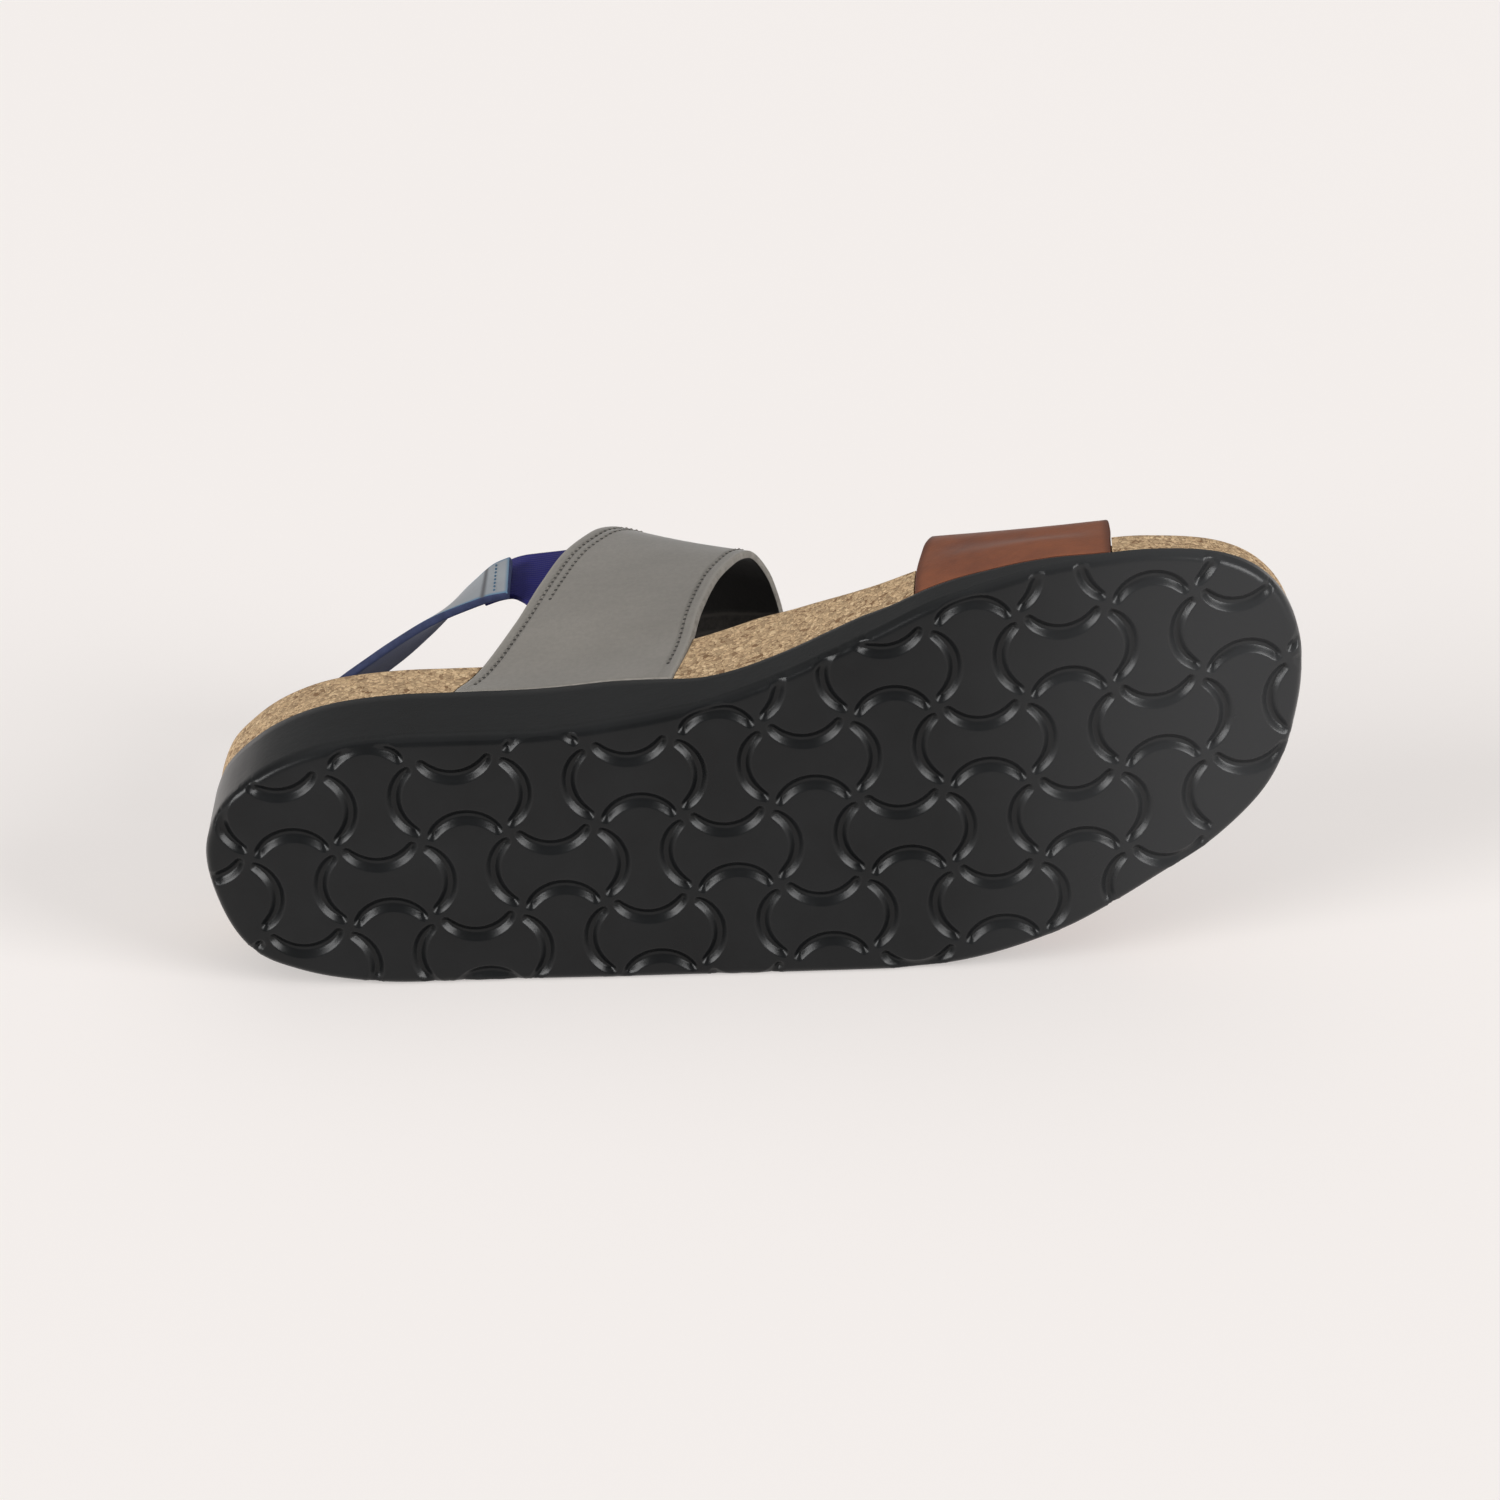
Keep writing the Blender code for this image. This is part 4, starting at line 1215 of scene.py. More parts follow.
def new_material(name, roughness, **constants):
    """A material with its shader and object coordinates"""
    material = bpy.data.materials.new(name)
    material.use_nodes = True
    tree = material.node_tree
    shader = tree.nodes["Principled BSDF"].inputs
    shader["Roughness"].default_value = roughness
    for key, value in constants.items():
        shader[key.replace("_", " ")].default_value = value
    return material, tree, shader, node(tree, "ShaderNodeTexCoord").outputs["Object"]


def napped(name, roughness, sheen, sheen_roughness=0.5):
    """A new material with the soft sheen of a nap"""
    return new_material(
        name, roughness, Sheen_Weight=sheen, Sheen_Roughness=sheen_roughness, Specular_IOR_Level=0.2)


def bumped(tree, shader, heights):
    """Chains bump nodes, each with its height, strength and distance"""
    before = None
    for height_of, strength, distance in heights:
        item = node(tree, "ShaderNodeBump", {
            "Height": height_of, "Strength": strength, "Distance": distance})
        if before:
            feed(tree, item.inputs["Normal"], before)
        before = item.outputs["Normal"]
    feed(tree, shader["Normal"], before)


def rubber_material(sole):
    """Moulded rubber: nearly even black, with painted light that makes it paler towards the toe"""
    material, tree, shader, where = new_material("moulded rubber", 0.5, Specular_IOR_Level=0.25)
    base, patches = mottled(tree, where, 42.0, scaled(sole.rubber, 0.82), scaled(sole.rubber, 1.35))
    along = node(tree, "ShaderNodeSeparateXYZ", {0: where}).outputs[0]
    # Painted light: the colour turns paler towards the toe
    toe = spread(tree, along, 0.03, 0.118, easing="SMOOTHSTEP")
    feed(tree, shader["Base Color"], blended(tree, toe, base, sole.painted_light))
    feed(tree, shader["Roughness"], spread(tree, patches, 0.0, 1.0, 0.27, 0.34))
    grain = grained(tree, where, 900.0, 3600.0, 0.55)
    bumped(tree, shader, [(grain, 0.18, 0.00012), (patches, 0.25, 0.00025)])
    return material


def cork_material(sole):
    """Pressed cork: granules of many tones, dark and light specks, dark joints"""
    material, tree, shader, where = new_material("pressed cork", 0.82, Specular_IOR_Level=0.3)
    warp = node(tree, "ShaderNodeTexNoise", {"Vector": where, "Scale": 520.0, "Detail": 2.0})
    shift = node(tree, "ShaderNodeVectorMath", {
        0: warp.outputs["Color"], 1: (0.0012, 0.0012, 0.0012), 2: where}, operation="MULTIPLY_ADD")

    def cells(scale, output, feature="F1"):
        inputs = {"Vector": shift.outputs[0], "Scale": scale}
        return node(tree, "ShaderNodeTexVoronoi", inputs, feature=feature).outputs[output]

    large = node(tree, "ShaderNodeSeparateColor", {0: cells(sole.granules, "Color")}).outputs
    small = node(tree, "ShaderNodeSeparateColor", {0: cells(sole.granules * 2.3, "Color")}).outputs
    joints = cells(sole.granules, "Distance", "DISTANCE_TO_EDGE")
    tones = node(tree, "ShaderNodeValToRGB", {"Fac": large[0]})
    ramp = tones.color_ramp
    ramp.elements[0].color = rgba(sole.cork_dark)
    ramp.elements[1].color = rgba(sole.cork_light)
    middle = [(a + b) / 2 for a, b in zip(sole.cork_dark, sole.cork_light)]
    for place, share in ((0.10, 0.80), (0.34, 1.02), (0.62, 1.16), (0.86, 1.28)):
        ramp.elements.new(place).color = rgba(scaled(middle, share))
    colour = tones.outputs["Color"]
    for mask, over in (
        (spread(tree, small[1], 0.80, 0.90, 0.0, 0.62), scaled(sole.cork_dark, 0.85)),
        (spread(tree, small[2], 0.76, 0.92, 0.0, 0.55), scaled(sole.cork_light, 1.25)),
        (spread(tree, joints, 0.0, 0.075, 0.55, 0.0), scaled(sole.cork_dark, 0.9)),
    ):
        colour = blended(tree, mask, colour, over)
    feed(tree, shader["Base Color"], colour)
    fine = grained(tree, where, 1900.0, 5200.0, 0.5)
    bumped(tree, shader, [(spread(tree, joints, 0.0, 0.16), 0.55, 0.00022), (fine, 0.35, 0.0002)])
    return material


def suede_material(name, colour, roughness, sheen, fibres, share=0.8):
    """Napped leather, lining or thread: soft patches of colour and a fine fibre bump"""
    material, tree, shader, where = napped(name, roughness, sheen)
    base, patches = mottled(tree, where, 55.0, scaled(colour, share), scaled(colour, 2 - share))
    feed(tree, shader["Base Color"], base)
    ends = (roughness - 0.05, min(roughness + 0.08, 1.0))
    feed(tree, shader["Roughness"], spread(tree, patches, 0.0, 1.0, *ends))
    bumped(tree, shader, [(grained(tree, where, fibres * 0.4, fibres, 0.75), 0.45, 0.00016)])
    return material


def strap_lining_material(upper):
    """The instep strap's black lining: smooth on the inner half, coarser past its seam"""
    material, tree, shader, where = napped("strap lining", 0.9, 0.1)
    inside = upper.inside
    base, _ = mottled(tree, where, 70.0, scaled(inside, 0.8), scaled(inside, 1.2))
    coarse, _ = mottled(tree, where, 700.0, scaled(inside, 2.2), scaled(inside, 4.2))
    over = attribute(tree, "over")
    colour = blended(tree, spread(tree, over, 0.534, 0.540), base, coarse)
    for place in (0.541, 0.562):
        colour = blended(tree, seam(tree, over, place, 0.0040), colour, scaled(inside, 5.5))
    feed(tree, shader["Base Color"], colour)
    nap = grained(tree, where, 1300.0, 3200.0, 0.6)
    bumped(tree, shader, [(nap, 0.45, 0.00016), (seam(tree, over, 0.541, 0.006), 0.7, 0.0004)])
    return material


def nubuck_material(upper):
    """The instep strap's face: brushed patches, a paler cut edge and pressed seams, darkened with painted
    shade
    """
    material, tree, shader, where = napped("gray nubuck", 0.86, 0.22, 0.45)
    nubuck = upper.nubuck
    brushed = node(tree, "ShaderNodeMapping", {
        "Vector": where, "Rotation": (0.3, 0.6, 0.4), "Scale": (0.5, 1.0, 1.6)}).outputs["Vector"]
    base, _ = mottled(tree, brushed, 46.0, scaled(nubuck, 0.90), scaled(nubuck, 1.09))
    fine, _ = mottled(tree, where, 900.0, (0.42, 0.42, 0.42), (0.58, 0.58, 0.58))
    colour = blended(tree, 0.35, base, fine, "OVERLAY")
    gap = attribute(tree, "edge_gap")
    colour = blended(tree, seam(tree, gap, 0.0, 0.0014), colour, scaled(nubuck, 1.35))
    pressed = seam(tree, gap, upper.stitch_inset, 0.0011)
    # Painted shade: the colour is darkened along the pressed seam's groove
    colour = blended(tree, computed(tree, "MULTIPLY", pressed, 0.10), colour, scaled(nubuck, 0.62))
    feed(tree, shader["Base Color"], colour)
    nap = grained(tree, where, 1500.0, 4200.0, 0.7)
    hollow = computed(tree, "SUBTRACT", 1.0, pressed)
    bumped(tree, shader, [(nap, 0.35, 0.00014), (hollow, 0.6, 0.0003)])
    return material


def smooth_leather_material(name, colour, edge_colour, line, gloss, coat, patches=0.2, hem=0.0):
    """Smooth leather with a fine grain, soft pull-up patches, dyed edges, and a dark line of painted shade
    for a folded hem's step
    """
    material, tree, shader, where = new_material(
        name, gloss, Specular_IOR_Level=0.4, Coat_Weight=coat, Coat_Roughness=0.42)
    warm = tuple(c * (1 + k * patches) for c, k in zip(colour, (1, 1.5, 1.2)))
    base, mask = mottled(tree, where, 52.0, scaled(colour, 1 - patches), warm)
    fine, _ = mottled(tree, where, 260.0, scaled(colour, 1 - patches / 2), scaled(colour, 1 + patches / 2))
    face = blended(tree, 0.4, base, fine)
    face = blended(tree, seam(tree, attribute(tree, "edge_gap"), 0.0, line), face, edge_colour)
    if hem:
        end = attribute(tree, "end_gap")
        # Painted shade: a dark line where the folded hem's step would cast shade
        face = blended(tree, seam(tree, end, hem, 0.0011), face, scaled(colour, 0.35))
        face = blended(tree, seam(tree, end, 0.0, 0.0014), face, edge_colour)
    feed(tree, shader["Base Color"], face)
    feed(tree, shader["Roughness"], spread(tree, mask, 0.0, 1.0, gloss - 0.07, gloss + 0.08))
    grain = grained(tree, where, 1250.0, 3800.0, 0.35)
    bumped(tree, shader, [(grain, 0.28, 0.00018), (mask, 0.2, 0.0003)])
    return material


def edge_material(name, colour):
    """A cut and dyed edge: short fibres along it"""
    material, tree, shader, where = new_material(name, 0.72, Specular_IOR_Level=0.25)
    feed(tree, shader["Base Color"], mottled(
        tree, where, 420.0, scaled(colour, 0.78), scaled(colour, 1.18))[0])
    bumped(tree, shader, [(grained(tree, where, 1800.0, 5000.0, 0.7), 0.5, 0.00018)])
    return material


def elastic_material(upper):
    """Woven elastic: rounded ribs along the band and fine cross threads, darker in their hollows as painted
    shade
    """
    material, tree, shader, where = napped("woven elastic", 0.78, 0.12, 0.4)
    flat = node(tree, "ShaderNodeUVMap").outputs["UV"]
    parts = node(tree, "ShaderNodeSeparateXYZ", {0: flat}).outputs
    ribs, threads = (
        computed(tree, "SINE", computed(tree, "MULTIPLY", parts[k], 2 * math.pi * count))
        for k, count in ((0, upper.ribs), (1, CROSS_THREADS)))
    woven = computed(tree, "MULTIPLY_ADD", threads, THREAD_SHARE, ribs)
    depth = spread(tree, woven, -1 - THREAD_SHARE, 1 + THREAD_SHARE)
    base, _ = mottled(tree, where, 300.0, scaled(upper.elastic, 0.8), scaled(upper.elastic, 1.2))
    # Painted shade: the weave's hollows are darker in colour
    feed(tree, shader["Base Color"], blended(tree, depth, scaled(upper.elastic, 0.78), base))
    bumped(tree, shader, [(depth, 0.4, 0.00014)])
    return material


def floor_material(stage):
    """The plain pale floor, which shines a little by itself"""
    material, tree, shader, where = new_material(
        "plain floor", 0.85, Specular_IOR_Level=0.15, Emission_Strength=stage.glow)
    base, _ = mottled(tree, where, 1.2, scaled(stage.floor, 0.995), scaled(stage.floor, 1.005))
    feed(tree, shader["Base Color"], base)
    feed(tree, shader["Emission Color"], base)
    return material


def gaps(grid):
    """Distance of each point of a grid to its rear edge and to its front edge, along its row"""
    steps = np.linalg.norm(np.diff(grid, axis=1), axis=2)
    rear = np.concatenate([np.zeros((len(grid), 1)), np.cumsum(steps, axis=1)], axis=1)
    return rear, rear[:, -1:] - rear


def band_gap(grid):
    """Distance of each point of a band's grid to the band's first end, along the band"""
    middle = grid[:, grid.shape[1] // 2]
    return np.repeat(along_path(middle)[:, None], grid.shape[1], axis=1)


def edge_weighted(count):
    """Shares from 0 to 1 that lie closer together near both ends"""
    k = np.linspace(0, 1, count)
    return 0.5 * k + 0.5 * (0.5 - 0.5 * np.cos(math.pi * k))


def stitch_line(inset_by, from_front, share_from, share_to):
    """Points and outward directions on the instep strap, at an even distance from an edge"""
    vs = np.linspace(share_from, share_to, STITCH_SAMPLES)
    every = np.linspace(0, 1, STITCH_SAMPLES + 1)
    us = np.linspace(0, 1, 41)
    grid = strap_face(INSTEP_STRAP, INSTEP_HEIGHT, us, vs)
    normals = strap_normals(strap_face(INSTEP_STRAP, INSTEP_HEIGHT, us, every))
    rear, front = gaps(grid)
    gap = front[:, ::-1] if from_front else rear
    points = []
    outs = []
    for i, v in enumerate(vs):
        k = np.interp(inset_by, gap[i], us)
        u = 1 - k if from_front else k
        points.append(at_place(grid[i], us, u))
        outs.append(at_place(normals[int(np.argmin(np.abs(every - v)))], us, u))
    return np.array(points), np.array(outs)


def small_ball(rings, shape, material):
    """A small ball whose points are laid anew by a function of their place on a unit ball"""
    bpy.ops.object.select_all(action="DESELECT")
    bpy.ops.mesh.primitive_uv_sphere_add(segments=8, ring_count=rings, radius=1.0)
    ball = bpy.context.object
    for v in ball.data.vertices:
        v.co = Vector(shape(*v.co))
    ball.data.materials.append(material)
    return ball


def stitch_places(points, outs, pitch):
    """Where a row's needle holes and stitches go, in turn: spot, run and outward direction"""
    place = along_path(points)
    end = place[-1]
    count = max(int(end / pitch), 1)
    outs = outs / np.linalg.norm(outs, axis=1, keepdims=True)
    for k in range(2 * count + 1):
        at = end * k / (2 * count)
        run = at_place(points, place, min(at + SEW_RUN, end)) - at_place(points, place, max(at - SEW_RUN, 0))
        run /= np.linalg.norm(run)
        out = at_place(outs, place, at)
        out = out - run * np.dot(out, run)
        yield at_place(points, place, at), run, out / np.linalg.norm(out)


def sewn(name, lines, upper, sunk, thread, hole):
    """One stitch and one needle hole, a dark dot of painted shade, modelled once and copied along each line
    """
    radius = upper.thread_radius
    half = upper.stitch_pitch * STITCH_LENGTH / 2

    def stitch_shape(x, y, z):
        return z * half, x * radius, y * radius * STITCH_FLAT + (1 - z * z) * radius * STITCH_BOW

    def hole_shape(x, y, z):
        return x * radius * HOLE_SIZE[0], y * radius * HOLE_SIZE[1], z * radius * HOLE_SIZE[2]

    sources = (small_ball(5, hole_shape, hole), small_ball(7, stitch_shape, thread))
    copies = []
    for points, outs in lines:
        for k, (spot, run, out) in enumerate(stitch_places(points, outs, upper.stitch_pitch)):
            spot = spot - out * (FIT_GAP + (sunk if k % 2 else radius * HOLE_SUNK))
            origin = lying(spot)
            axes = lying(spot + np.stack([run, np.cross(out, run), out])) - origin
            turn = np.vstack([np.column_stack([*axes, origin]), (0, 0, 0, 1)])
            twin = sources[k % 2].copy()
            twin.data = twin.data.copy()
            twin.matrix_world = Matrix(turn.tolist())
            bpy.context.scene.collection.objects.link(twin)
            copies.append(twin)
    for source in sources:
        bpy.data.objects.remove(source)
    bpy.ops.object.select_all(action="DESELECT")
    for twin in copies:
        twin.select_set(True)
    bpy.context.view_layer.objects.active = copies[0]
    bpy.ops.object.join()
    obj = bpy.context.object
    bpy.ops.object.transform_apply(location=True, rotation=True, scale=True)
    obj.name = name
    obj.data.name = name
    mesh = bmesh.new()
    mesh.from_mesh(obj.data)
    bmesh.ops.recalc_face_normals(mesh, faces=mesh.faces)
    mesh.to_mesh(obj.data)
    mesh.free()
    bpy.ops.object.shade_smooth()
    return obj


def finished(piece, node_name):
    """Declares what a piece rides on and hides the CAD node that it stands for"""
    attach(piece, "root")
    if node_name:
        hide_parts(node_name)


class SANDAL_OT_sole(bpy.types.Operator):
    """Makes the moulded black sole with its crescent tread"""

    bl_idname = "sandal.sole"
    bl_label = "Make Sole"

    def execute(self, context):
        sole = context.scene.sandal_sole
        piece = body_from("moulded_sole", sole_mesh(sole), [rubber_material(sole)])
        rounded(piece, SOLE_SMOOTH)
        finished(piece, "outsole")
        return {"FINISHED"}


def cork_rim(ring):
    """The height of the cork's edge at each point of a paired ring"""
    inner = np.arange(2 * PAIRS) <= PAIRS
    return np.where(inner, height(CORK_INNER, ring[:, 0]), height(CORK_OUTER, ring[:, 0]))


def cork_loops():
    """The rings of the cork: its side, its rounded edge, the ledge and the step into the bed"""
    side = inset(PAIRED, CORK_STEP)
    foot = height(BLACK_TOP, side[:, 0]) + FIT_GAP
    edge = cork_rim(side)
    rise = edge - CORK_EDGE[0][1] - foot
    loops = [np.column_stack([side, foot + rise * share]) for share in CORK_SIDE]
    for inwards, down in CORK_EDGE:
        loops.append(np.column_stack([inset(PAIRED, CORK_STEP + inwards), edge - down]))
    for inwards, down in ((0.0, 0.0), CORK_LEDGE):
        ring = inset(PAIRED, RIM_WIDTH - FIT_GAP + inwards)
        loops.append(np.column_stack([ring, cork_rim(ring) - down]))
    bed = inset(PAIRED, RIM_WIDTH)
    return loops + [np.column_stack([bed, bed_height(bed[:, 0], bed[:, 1])])]


def shell(outer, inner):
    """A closed body between two grids of points that lie one over the other"""
    mesh = bmesh.new()
    a, b = ([[mesh.verts.new(p) for p in row] for row in lying(grid)] for grid in (outer, inner))
    rows, cols = outer.shape[:2]
    for g in (a, b):
        for i, j in itertools.product(range(rows - 1), range(cols - 1)):
            mesh.faces.new((g[i][j], g[i + 1][j], g[i + 1][j + 1], g[i][j + 1]))
    for i, j in itertools.product(range(rows - 1), (0, cols - 1)):
        mesh.faces.new((a[i][j], b[i][j], b[i + 1][j], a[i + 1][j]))
    for j, i in itertools.product(range(cols - 1), (0, rows - 1)):
        mesh.faces.new((a[i][j], a[i][j + 1], b[i][j + 1], b[i][j]))
    return mesh


def cut_pocket(piece, table, top, outer_end):
    """Adds a cut in the cork's side that the strap's end fills"""
    extra = POCKET_ROOM / (SOLE_LENGTH * abs(table[0][3] - table[0][0]))
    us = -extra + (1 + 2 * extra) * np.linspace(0, 1, POCKET_COLUMNS)
    face = strap_grid(table, top, us, POCKET_ROWS)
    normals = strap_normals(face)
    rows = slice(POCKET_ROWS - POCKET_DEEP, POCKET_ROWS) if outer_end else slice(0, POCKET_DEEP)
    place, last = (POCKET_DEEP, -1) if outer_end else (0, 0)
    walls = []
    for away in (POCKET_OUT, -(FIT_GAP + STRAP_THICKNESS + POCKET_ROOM)):
        wall = face[rows] + normals[rows] * away
        walls.append(np.insert(wall, place, wall[last] + np.array([0, 0, -POCKET_FOOT]), axis=0))
    cutter = body_from("pocket", shell(*walls), [])
    cutter.display_type = "WIRE"
    cutter.hide_render = True
    cut = piece.modifiers.new("pocket", "BOOLEAN")
    cut.operation = "DIFFERENCE"
    cut.solver = "EXACT"
    cut.object = cutter
    return cutter


class SANDAL_OT_footbed(bpy.types.Operator):
    """Makes the cork wedge with its sunk bed and the pockets for the straps"""

    bl_idname = "sandal.footbed"
    bl_label = "Make Cork Footbed"

    def execute(self, context):
        piece = stacked(
            "cork_footbed", cork_loops(), CORK_RUNGS,
            lambda x, y: height(BLACK_TOP, x) + FIT_GAP, bed_height,
            [cork_material(context.scene.sandal_sole)])
        straps = ((INSTEP_STRAP, INSTEP_HEIGHT), (TOE_STRAP, TOE_STRAP_HEIGHT))
        cutters = [
            cut_pocket(piece, table, top, outer_end)
            for table, top in straps for outer_end in (False, True)]
        whole = len(piece.data.polygons)
        apply_modifiers(piece)
        if len(piece.data.polygons) < LEAST_CORK * whole:
            raise RuntimeError("the strap pockets took away the cork")
        for cutter in cutters:
            bpy.data.objects.remove(cutter)
        rounded(piece, CORK_SMOOTH)
        finished(piece, "footbed")
        return {"FINISHED"}


class SANDAL_OT_lining(bpy.types.Operator):
    """Makes the black lining sheet in the foot's bed"""

    bl_idname = "sandal.lining"
    bl_label = "Make Lining"

    def execute(self, context):
        sole = context.scene.sandal_sole
        under = 2 * FIT_GAP
        over = under + INSOLE_THICKNESS
        loops = []
        for inwards, up in [(0.0, under)] + [(inwards, over - down) for inwards, down in LINING_EDGE]:
            ring = inset(PAIRED, RIM_WIDTH + LINING_ROOM + inwards)
            loops.append(np.column_stack([ring, bed_height(ring[:, 0], ring[:, 1]) + up]))
        piece = stacked(
            "bed_lining", loops, LINING_RUNGS,
            lambda x, y: bed_height(x, y) + under, lambda x, y: bed_height(x, y) + over,
            [suede_material("black lining", sole.lining, 0.9, 0.35, 2600.0, 0.6)])
        rounded(piece, LINING_SMOOTH)
        finished(piece, "insole")
        return {"FINISHED"}


def strap_piece(name, table, top, rows, away, tilt=None):
    """A strap's sheet, whose points carry their distance to a cut edge and their place along it"""
    us = edge_weighted(STRAP_COLUMNS)
    grid = strap_grid(table, top, us, rows)
    values = {"edge_gap": np.minimum(*gaps(grid))}
    if tilt is not None:
        values["over"] = np.linspace(0, 1, rows)[:, None] + tilt * us[None, :]
    return grid_piece(name, grid - strap_normals(grid) * FIT_GAP, away, values)


class SANDAL_OT_instep_strap(bpy.types.Operator):
    """Makes the broad gray strap over the instep"""

    bl_idname = "sandal.instep_strap"
    bl_label = "Make Instep Strap"

    def execute(self, context):
        upper = context.scene.sandal_upper
        away = (0.45 * SOLE_LENGTH, 0.15 * BALL_WIDTH, 0.04)
        piece = strap_piece(
            "instep_leather", INSTEP_STRAP, INSTEP_HEIGHT, INSTEP_ROWS, away, LINING_SEAM_TILT)
        leather(piece, STRAP_THICKNESS, upper.edge_round, [
            nubuck_material(upper),
            strap_lining_material(upper),
            edge_material("nubuck edge", scaled(upper.nubuck, 1.35))])
        finished(piece, "instep_strap")
        return {"FINISHED"}


class SANDAL_OT_toe_strap(bpy.types.Operator):
    """Makes the chestnut strap over the toes"""

    bl_idname = "sandal.toe_strap"
    bl_label = "Make Toe Strap"

    def execute(self, context):
        upper = context.scene.sandal_upper
        brown = upper.brown
        away = (0.76 * SOLE_LENGTH, 0.12 * BALL_WIDTH, 0.01)
        piece = strap_piece("toe_leather", TOE_STRAP, TOE_STRAP_HEIGHT, TOE_ROWS, away)
        leather(piece, STRAP_THICKNESS, upper.edge_round, [
            smooth_leather_material(
                "chestnut leather", brown, scaled(brown, 0.5), 0.0024, 0.52, 0.05, 0.40),
            suede_material("chestnut inside", scaled(brown, 0.8), 0.85, 0.2, 3000.0),
            edge_material("chestnut edge", scaled(brown, 0.45))])
        finished(piece, "toe_strap")
        return {"FINISHED"}


class SANDAL_OT_heel_sling(bpy.types.Operator):
    """Makes the leather sling round the heel"""

    bl_idname = "sandal.heel_sling"
    bl_label = "Make Heel Sling"

    def execute(self, context):
        upper = context.scene.sandal_upper
        grid, _ = band_face(HEEL_SLING, SLING_WIDTH, SLING_STEPS, True)
        piece = grid_piece(
            "sling_leather", grid, (*ANKLE, 0.074),
            {"edge_gap": np.minimum(*gaps(grid)), "end_gap": band_gap(grid)})
        leather(piece, SLING_THICKNESS, upper.edge_round, [
            smooth_leather_material(
                "sling leather", upper.sling, upper.sling_edge, 0.0019, 0.5, 0.08, 0.2, upper.hem),
            suede_material("sling inside", upper.navy, 0.85, 0.08, 3000.0),
            edge_material("sling edge", scaled(upper.navy, 0.85))])
        finished(piece, "heel_sling")
        return {"FINISHED"}


class SANDAL_OT_elastic(bpy.types.Operator):
    """Makes the short navy elastic between the sling and the strap"""

    bl_idname = "sandal.elastic"
    bl_label = "Make Elastic"

    def execute(self, context):
        upper = context.scene.sandal_upper
        grid, _ = band_face(SLING_ELASTIC, ELASTIC_WIDTH, ELASTIC_STEPS, False)
        piece = grid_piece("navy_elastic", grid, (0.30 * SOLE_LENGTH, 0.06 * BALL_WIDTH, 0.078))
        leather(piece, ELASTIC_THICKNESS, ELASTIC_ROUND, [elastic_material(upper)] * 3)
        finished(piece, "sling_elastic")
        return {"FINISHED"}


class SANDAL_OT_stitching(bpy.types.Operator):
    """Sews the instep strap's edges and the sling's end"""

    bl_idname = "sandal.stitching"
    bl_label = "Sew Stitches"

    def execute(self, context):
        upper = context.scene.sandal_upper
        sunk = upper.thread_radius * STITCH_SUNK
        thread = suede_material("gray thread", scaled(upper.nubuck, 0.92), 0.7, 0.1, 5000.0)
        # Needle holes: dark dots of painted shade
        hole = suede_material("needle hole", NEEDLE_HOLE_SHADE, 0.9, 0.0, 4000.0)
        near = upper.stitch_inset
        lines = [
            stitch_line(near, False, *WHOLE_ROW),
            stitch_line(near + upper.row_gap, False, *ELASTIC_ROW),
            stitch_line(near, True, *WHOLE_ROW),
        ]
        piece = sewn("instep_stitches", lines, upper, sunk, thread, hole)
        finished(piece, None)
        band, outs = band_face(HEEL_SLING, SLING_WIDTH, SLING_STEPS, True)
        row = int(np.argmin(np.abs(band_gap(band)[:, 0] - HEM_ROW * upper.hem)))
        cord = suede_material("blue thread", scaled(upper.sling_edge, 0.6), 0.7, 0.1, 5000.0)
        lines = [(band[row, 1:-1], outs[row, 1:-1])]
        hem = sewn("sling_stitches", lines, upper, sunk - FIT_GAP, cord, hole)
        finished(hem, None)
        return {"FINISHED"}


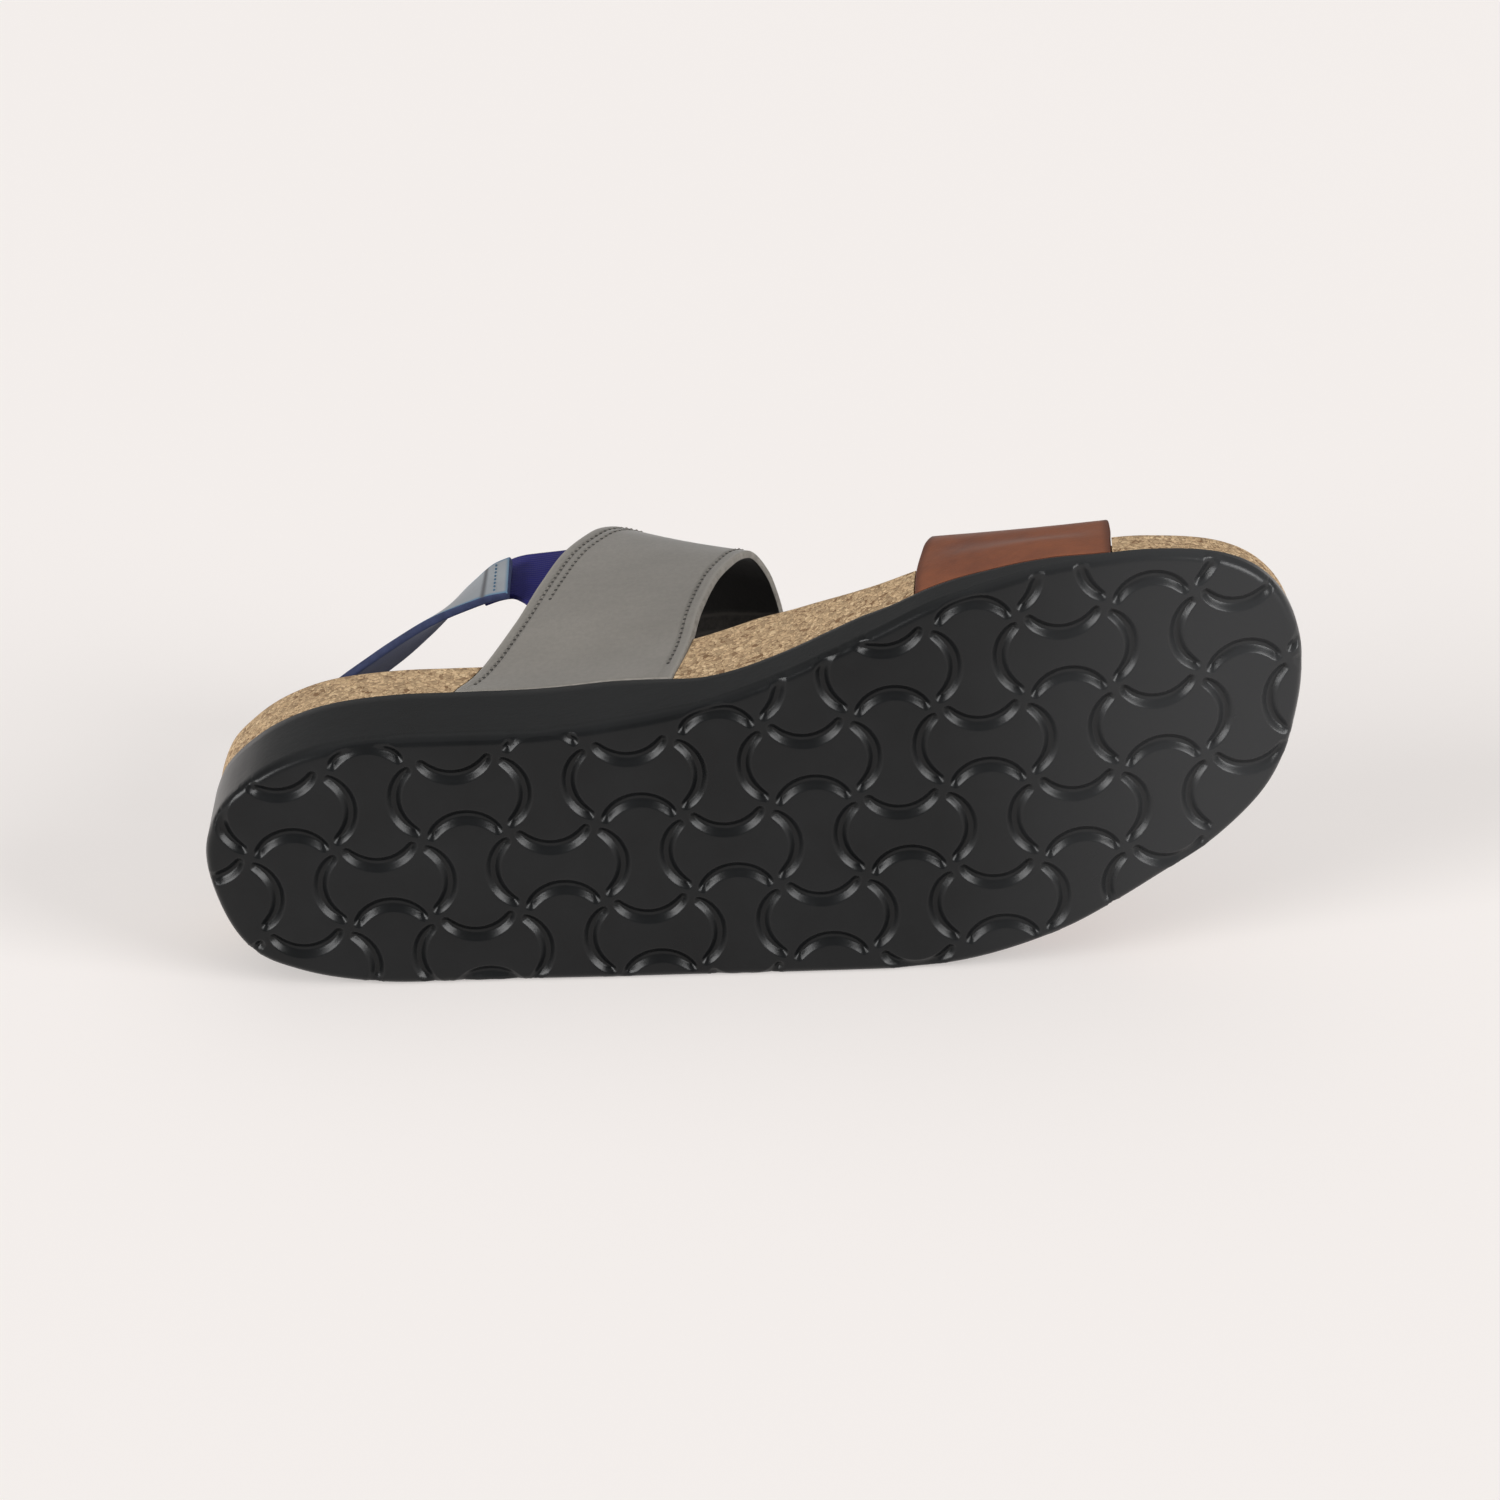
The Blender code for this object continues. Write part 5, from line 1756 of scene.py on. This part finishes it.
class SANDAL_OT_stage(bpy.types.Operator):
    """Adds the floor, the studio light and the camera"""

    bl_idname = "sandal.stage"
    bl_label = "Set Stage"

    def execute(self, context):
        scene = context.scene
        stage = scene.sandal_stage
        bpy.ops.object.select_all(action="DESELECT")
        bpy.ops.mesh.primitive_plane_add(size=FLOOR_SIZE, location=(0, 0, 0))
        floor = context.object
        floor.name = "floor"
        floor.data.materials.append(floor_material(stage))
        world = bpy.data.worlds.new("studio")
        world.use_nodes = True
        room = world.node_tree.nodes["Background"].inputs
        room["Color"].default_value = rgba(ROOM_COLOUR)
        room["Strength"].default_value = stage.sky
        scene.world = world
        for name, towards, angle, strength in LIGHTS:
            bpy.ops.object.light_add(type="SUN", location=towards)
            lamp = context.object
            lamp.name = name
            lamp.data.energy = getattr(stage, strength)
            lamp.data.angle = math.radians(angle)
            lamp.rotation_euler = (-Vector(towards)).to_track_quat("-Z", "Y").to_euler()
        bpy.ops.object.camera_add(location=CAMERA_PLACE)
        camera = context.object
        camera.name = "camera"
        roll = Quaternion((0, 0, 1), math.radians(CAMERA_ROLL))
        camera.rotation_euler = (Vector(CAMERA_LOOK).to_track_quat("-Z", "Y") @ roll).to_euler()
        camera.data.lens = stage.lens
        camera.data.sensor_width = CAMERA_SENSOR
        camera.data.clip_start, camera.data.clip_end = CAMERA_CLIP
        scene.camera = camera
        scene.view_settings.view_transform = "Standard"
        return {"FINISHED"}


class SANDAL_PT_panel(bpy.types.Panel):
    """Lists the sandal's pieces and their sizes"""

    bl_idname = "SANDAL_PT_panel"
    bl_label = "Sandal"
    bl_space_type = "VIEW_3D"
    bl_region_type = "UI"
    bl_category = "Sandal"

    def draw(self, context):
        scene = context.scene
        for settings, names in (
            (scene.sandal_sole, ("sole", "footbed", "lining")),
            (scene.sandal_upper, ("instep_strap", "toe_strap", "heel_sling", "elastic", "stitching")),
            (scene.sandal_stage, ("stage",)),
        ):
            box = self.layout.box()
            for name in names:
                box.operator("sandal." + name)
            for key in settings.bl_rna.properties.keys():
                if key not in ("rna_type", "name"):
                    box.prop(settings, key)


CLASSES = (
    SandalSole, SandalUpper, SandalStage, SANDAL_OT_sole, SANDAL_OT_footbed, SANDAL_OT_lining,
    SANDAL_OT_instep_strap, SANDAL_OT_toe_strap, SANDAL_OT_heel_sling, SANDAL_OT_elastic,
    SANDAL_OT_stitching, SANDAL_OT_stage, SANDAL_PT_panel,
)


def register():
    """Makes the sandal's classes and its settings known"""
    for item in CLASSES:
        bpy.utils.register_class(item)
    bpy.types.Scene.sandal_sole = PointerProperty(type=SandalSole)
    bpy.types.Scene.sandal_upper = PointerProperty(type=SandalUpper)
    bpy.types.Scene.sandal_stage = PointerProperty(type=SandalStage)


def unregister():
    """Takes the sandal's settings and classes away again"""
    del bpy.types.Scene.sandal_sole
    del bpy.types.Scene.sandal_upper
    del bpy.types.Scene.sandal_stage
    for item in reversed(CLASSES):
        bpy.utils.unregister_class(item)


def main():
    """Builds the whole sandal"""
    register()
    bpy.ops.sandal.sole()
    bpy.ops.sandal.footbed()
    bpy.ops.sandal.lining()
    bpy.ops.sandal.instep_strap()
    bpy.ops.sandal.toe_strap()
    bpy.ops.sandal.heel_sling()
    bpy.ops.sandal.elastic()
    bpy.ops.sandal.stitching()
    bpy.ops.sandal.stage()


if __name__ == "__main__":
    main()
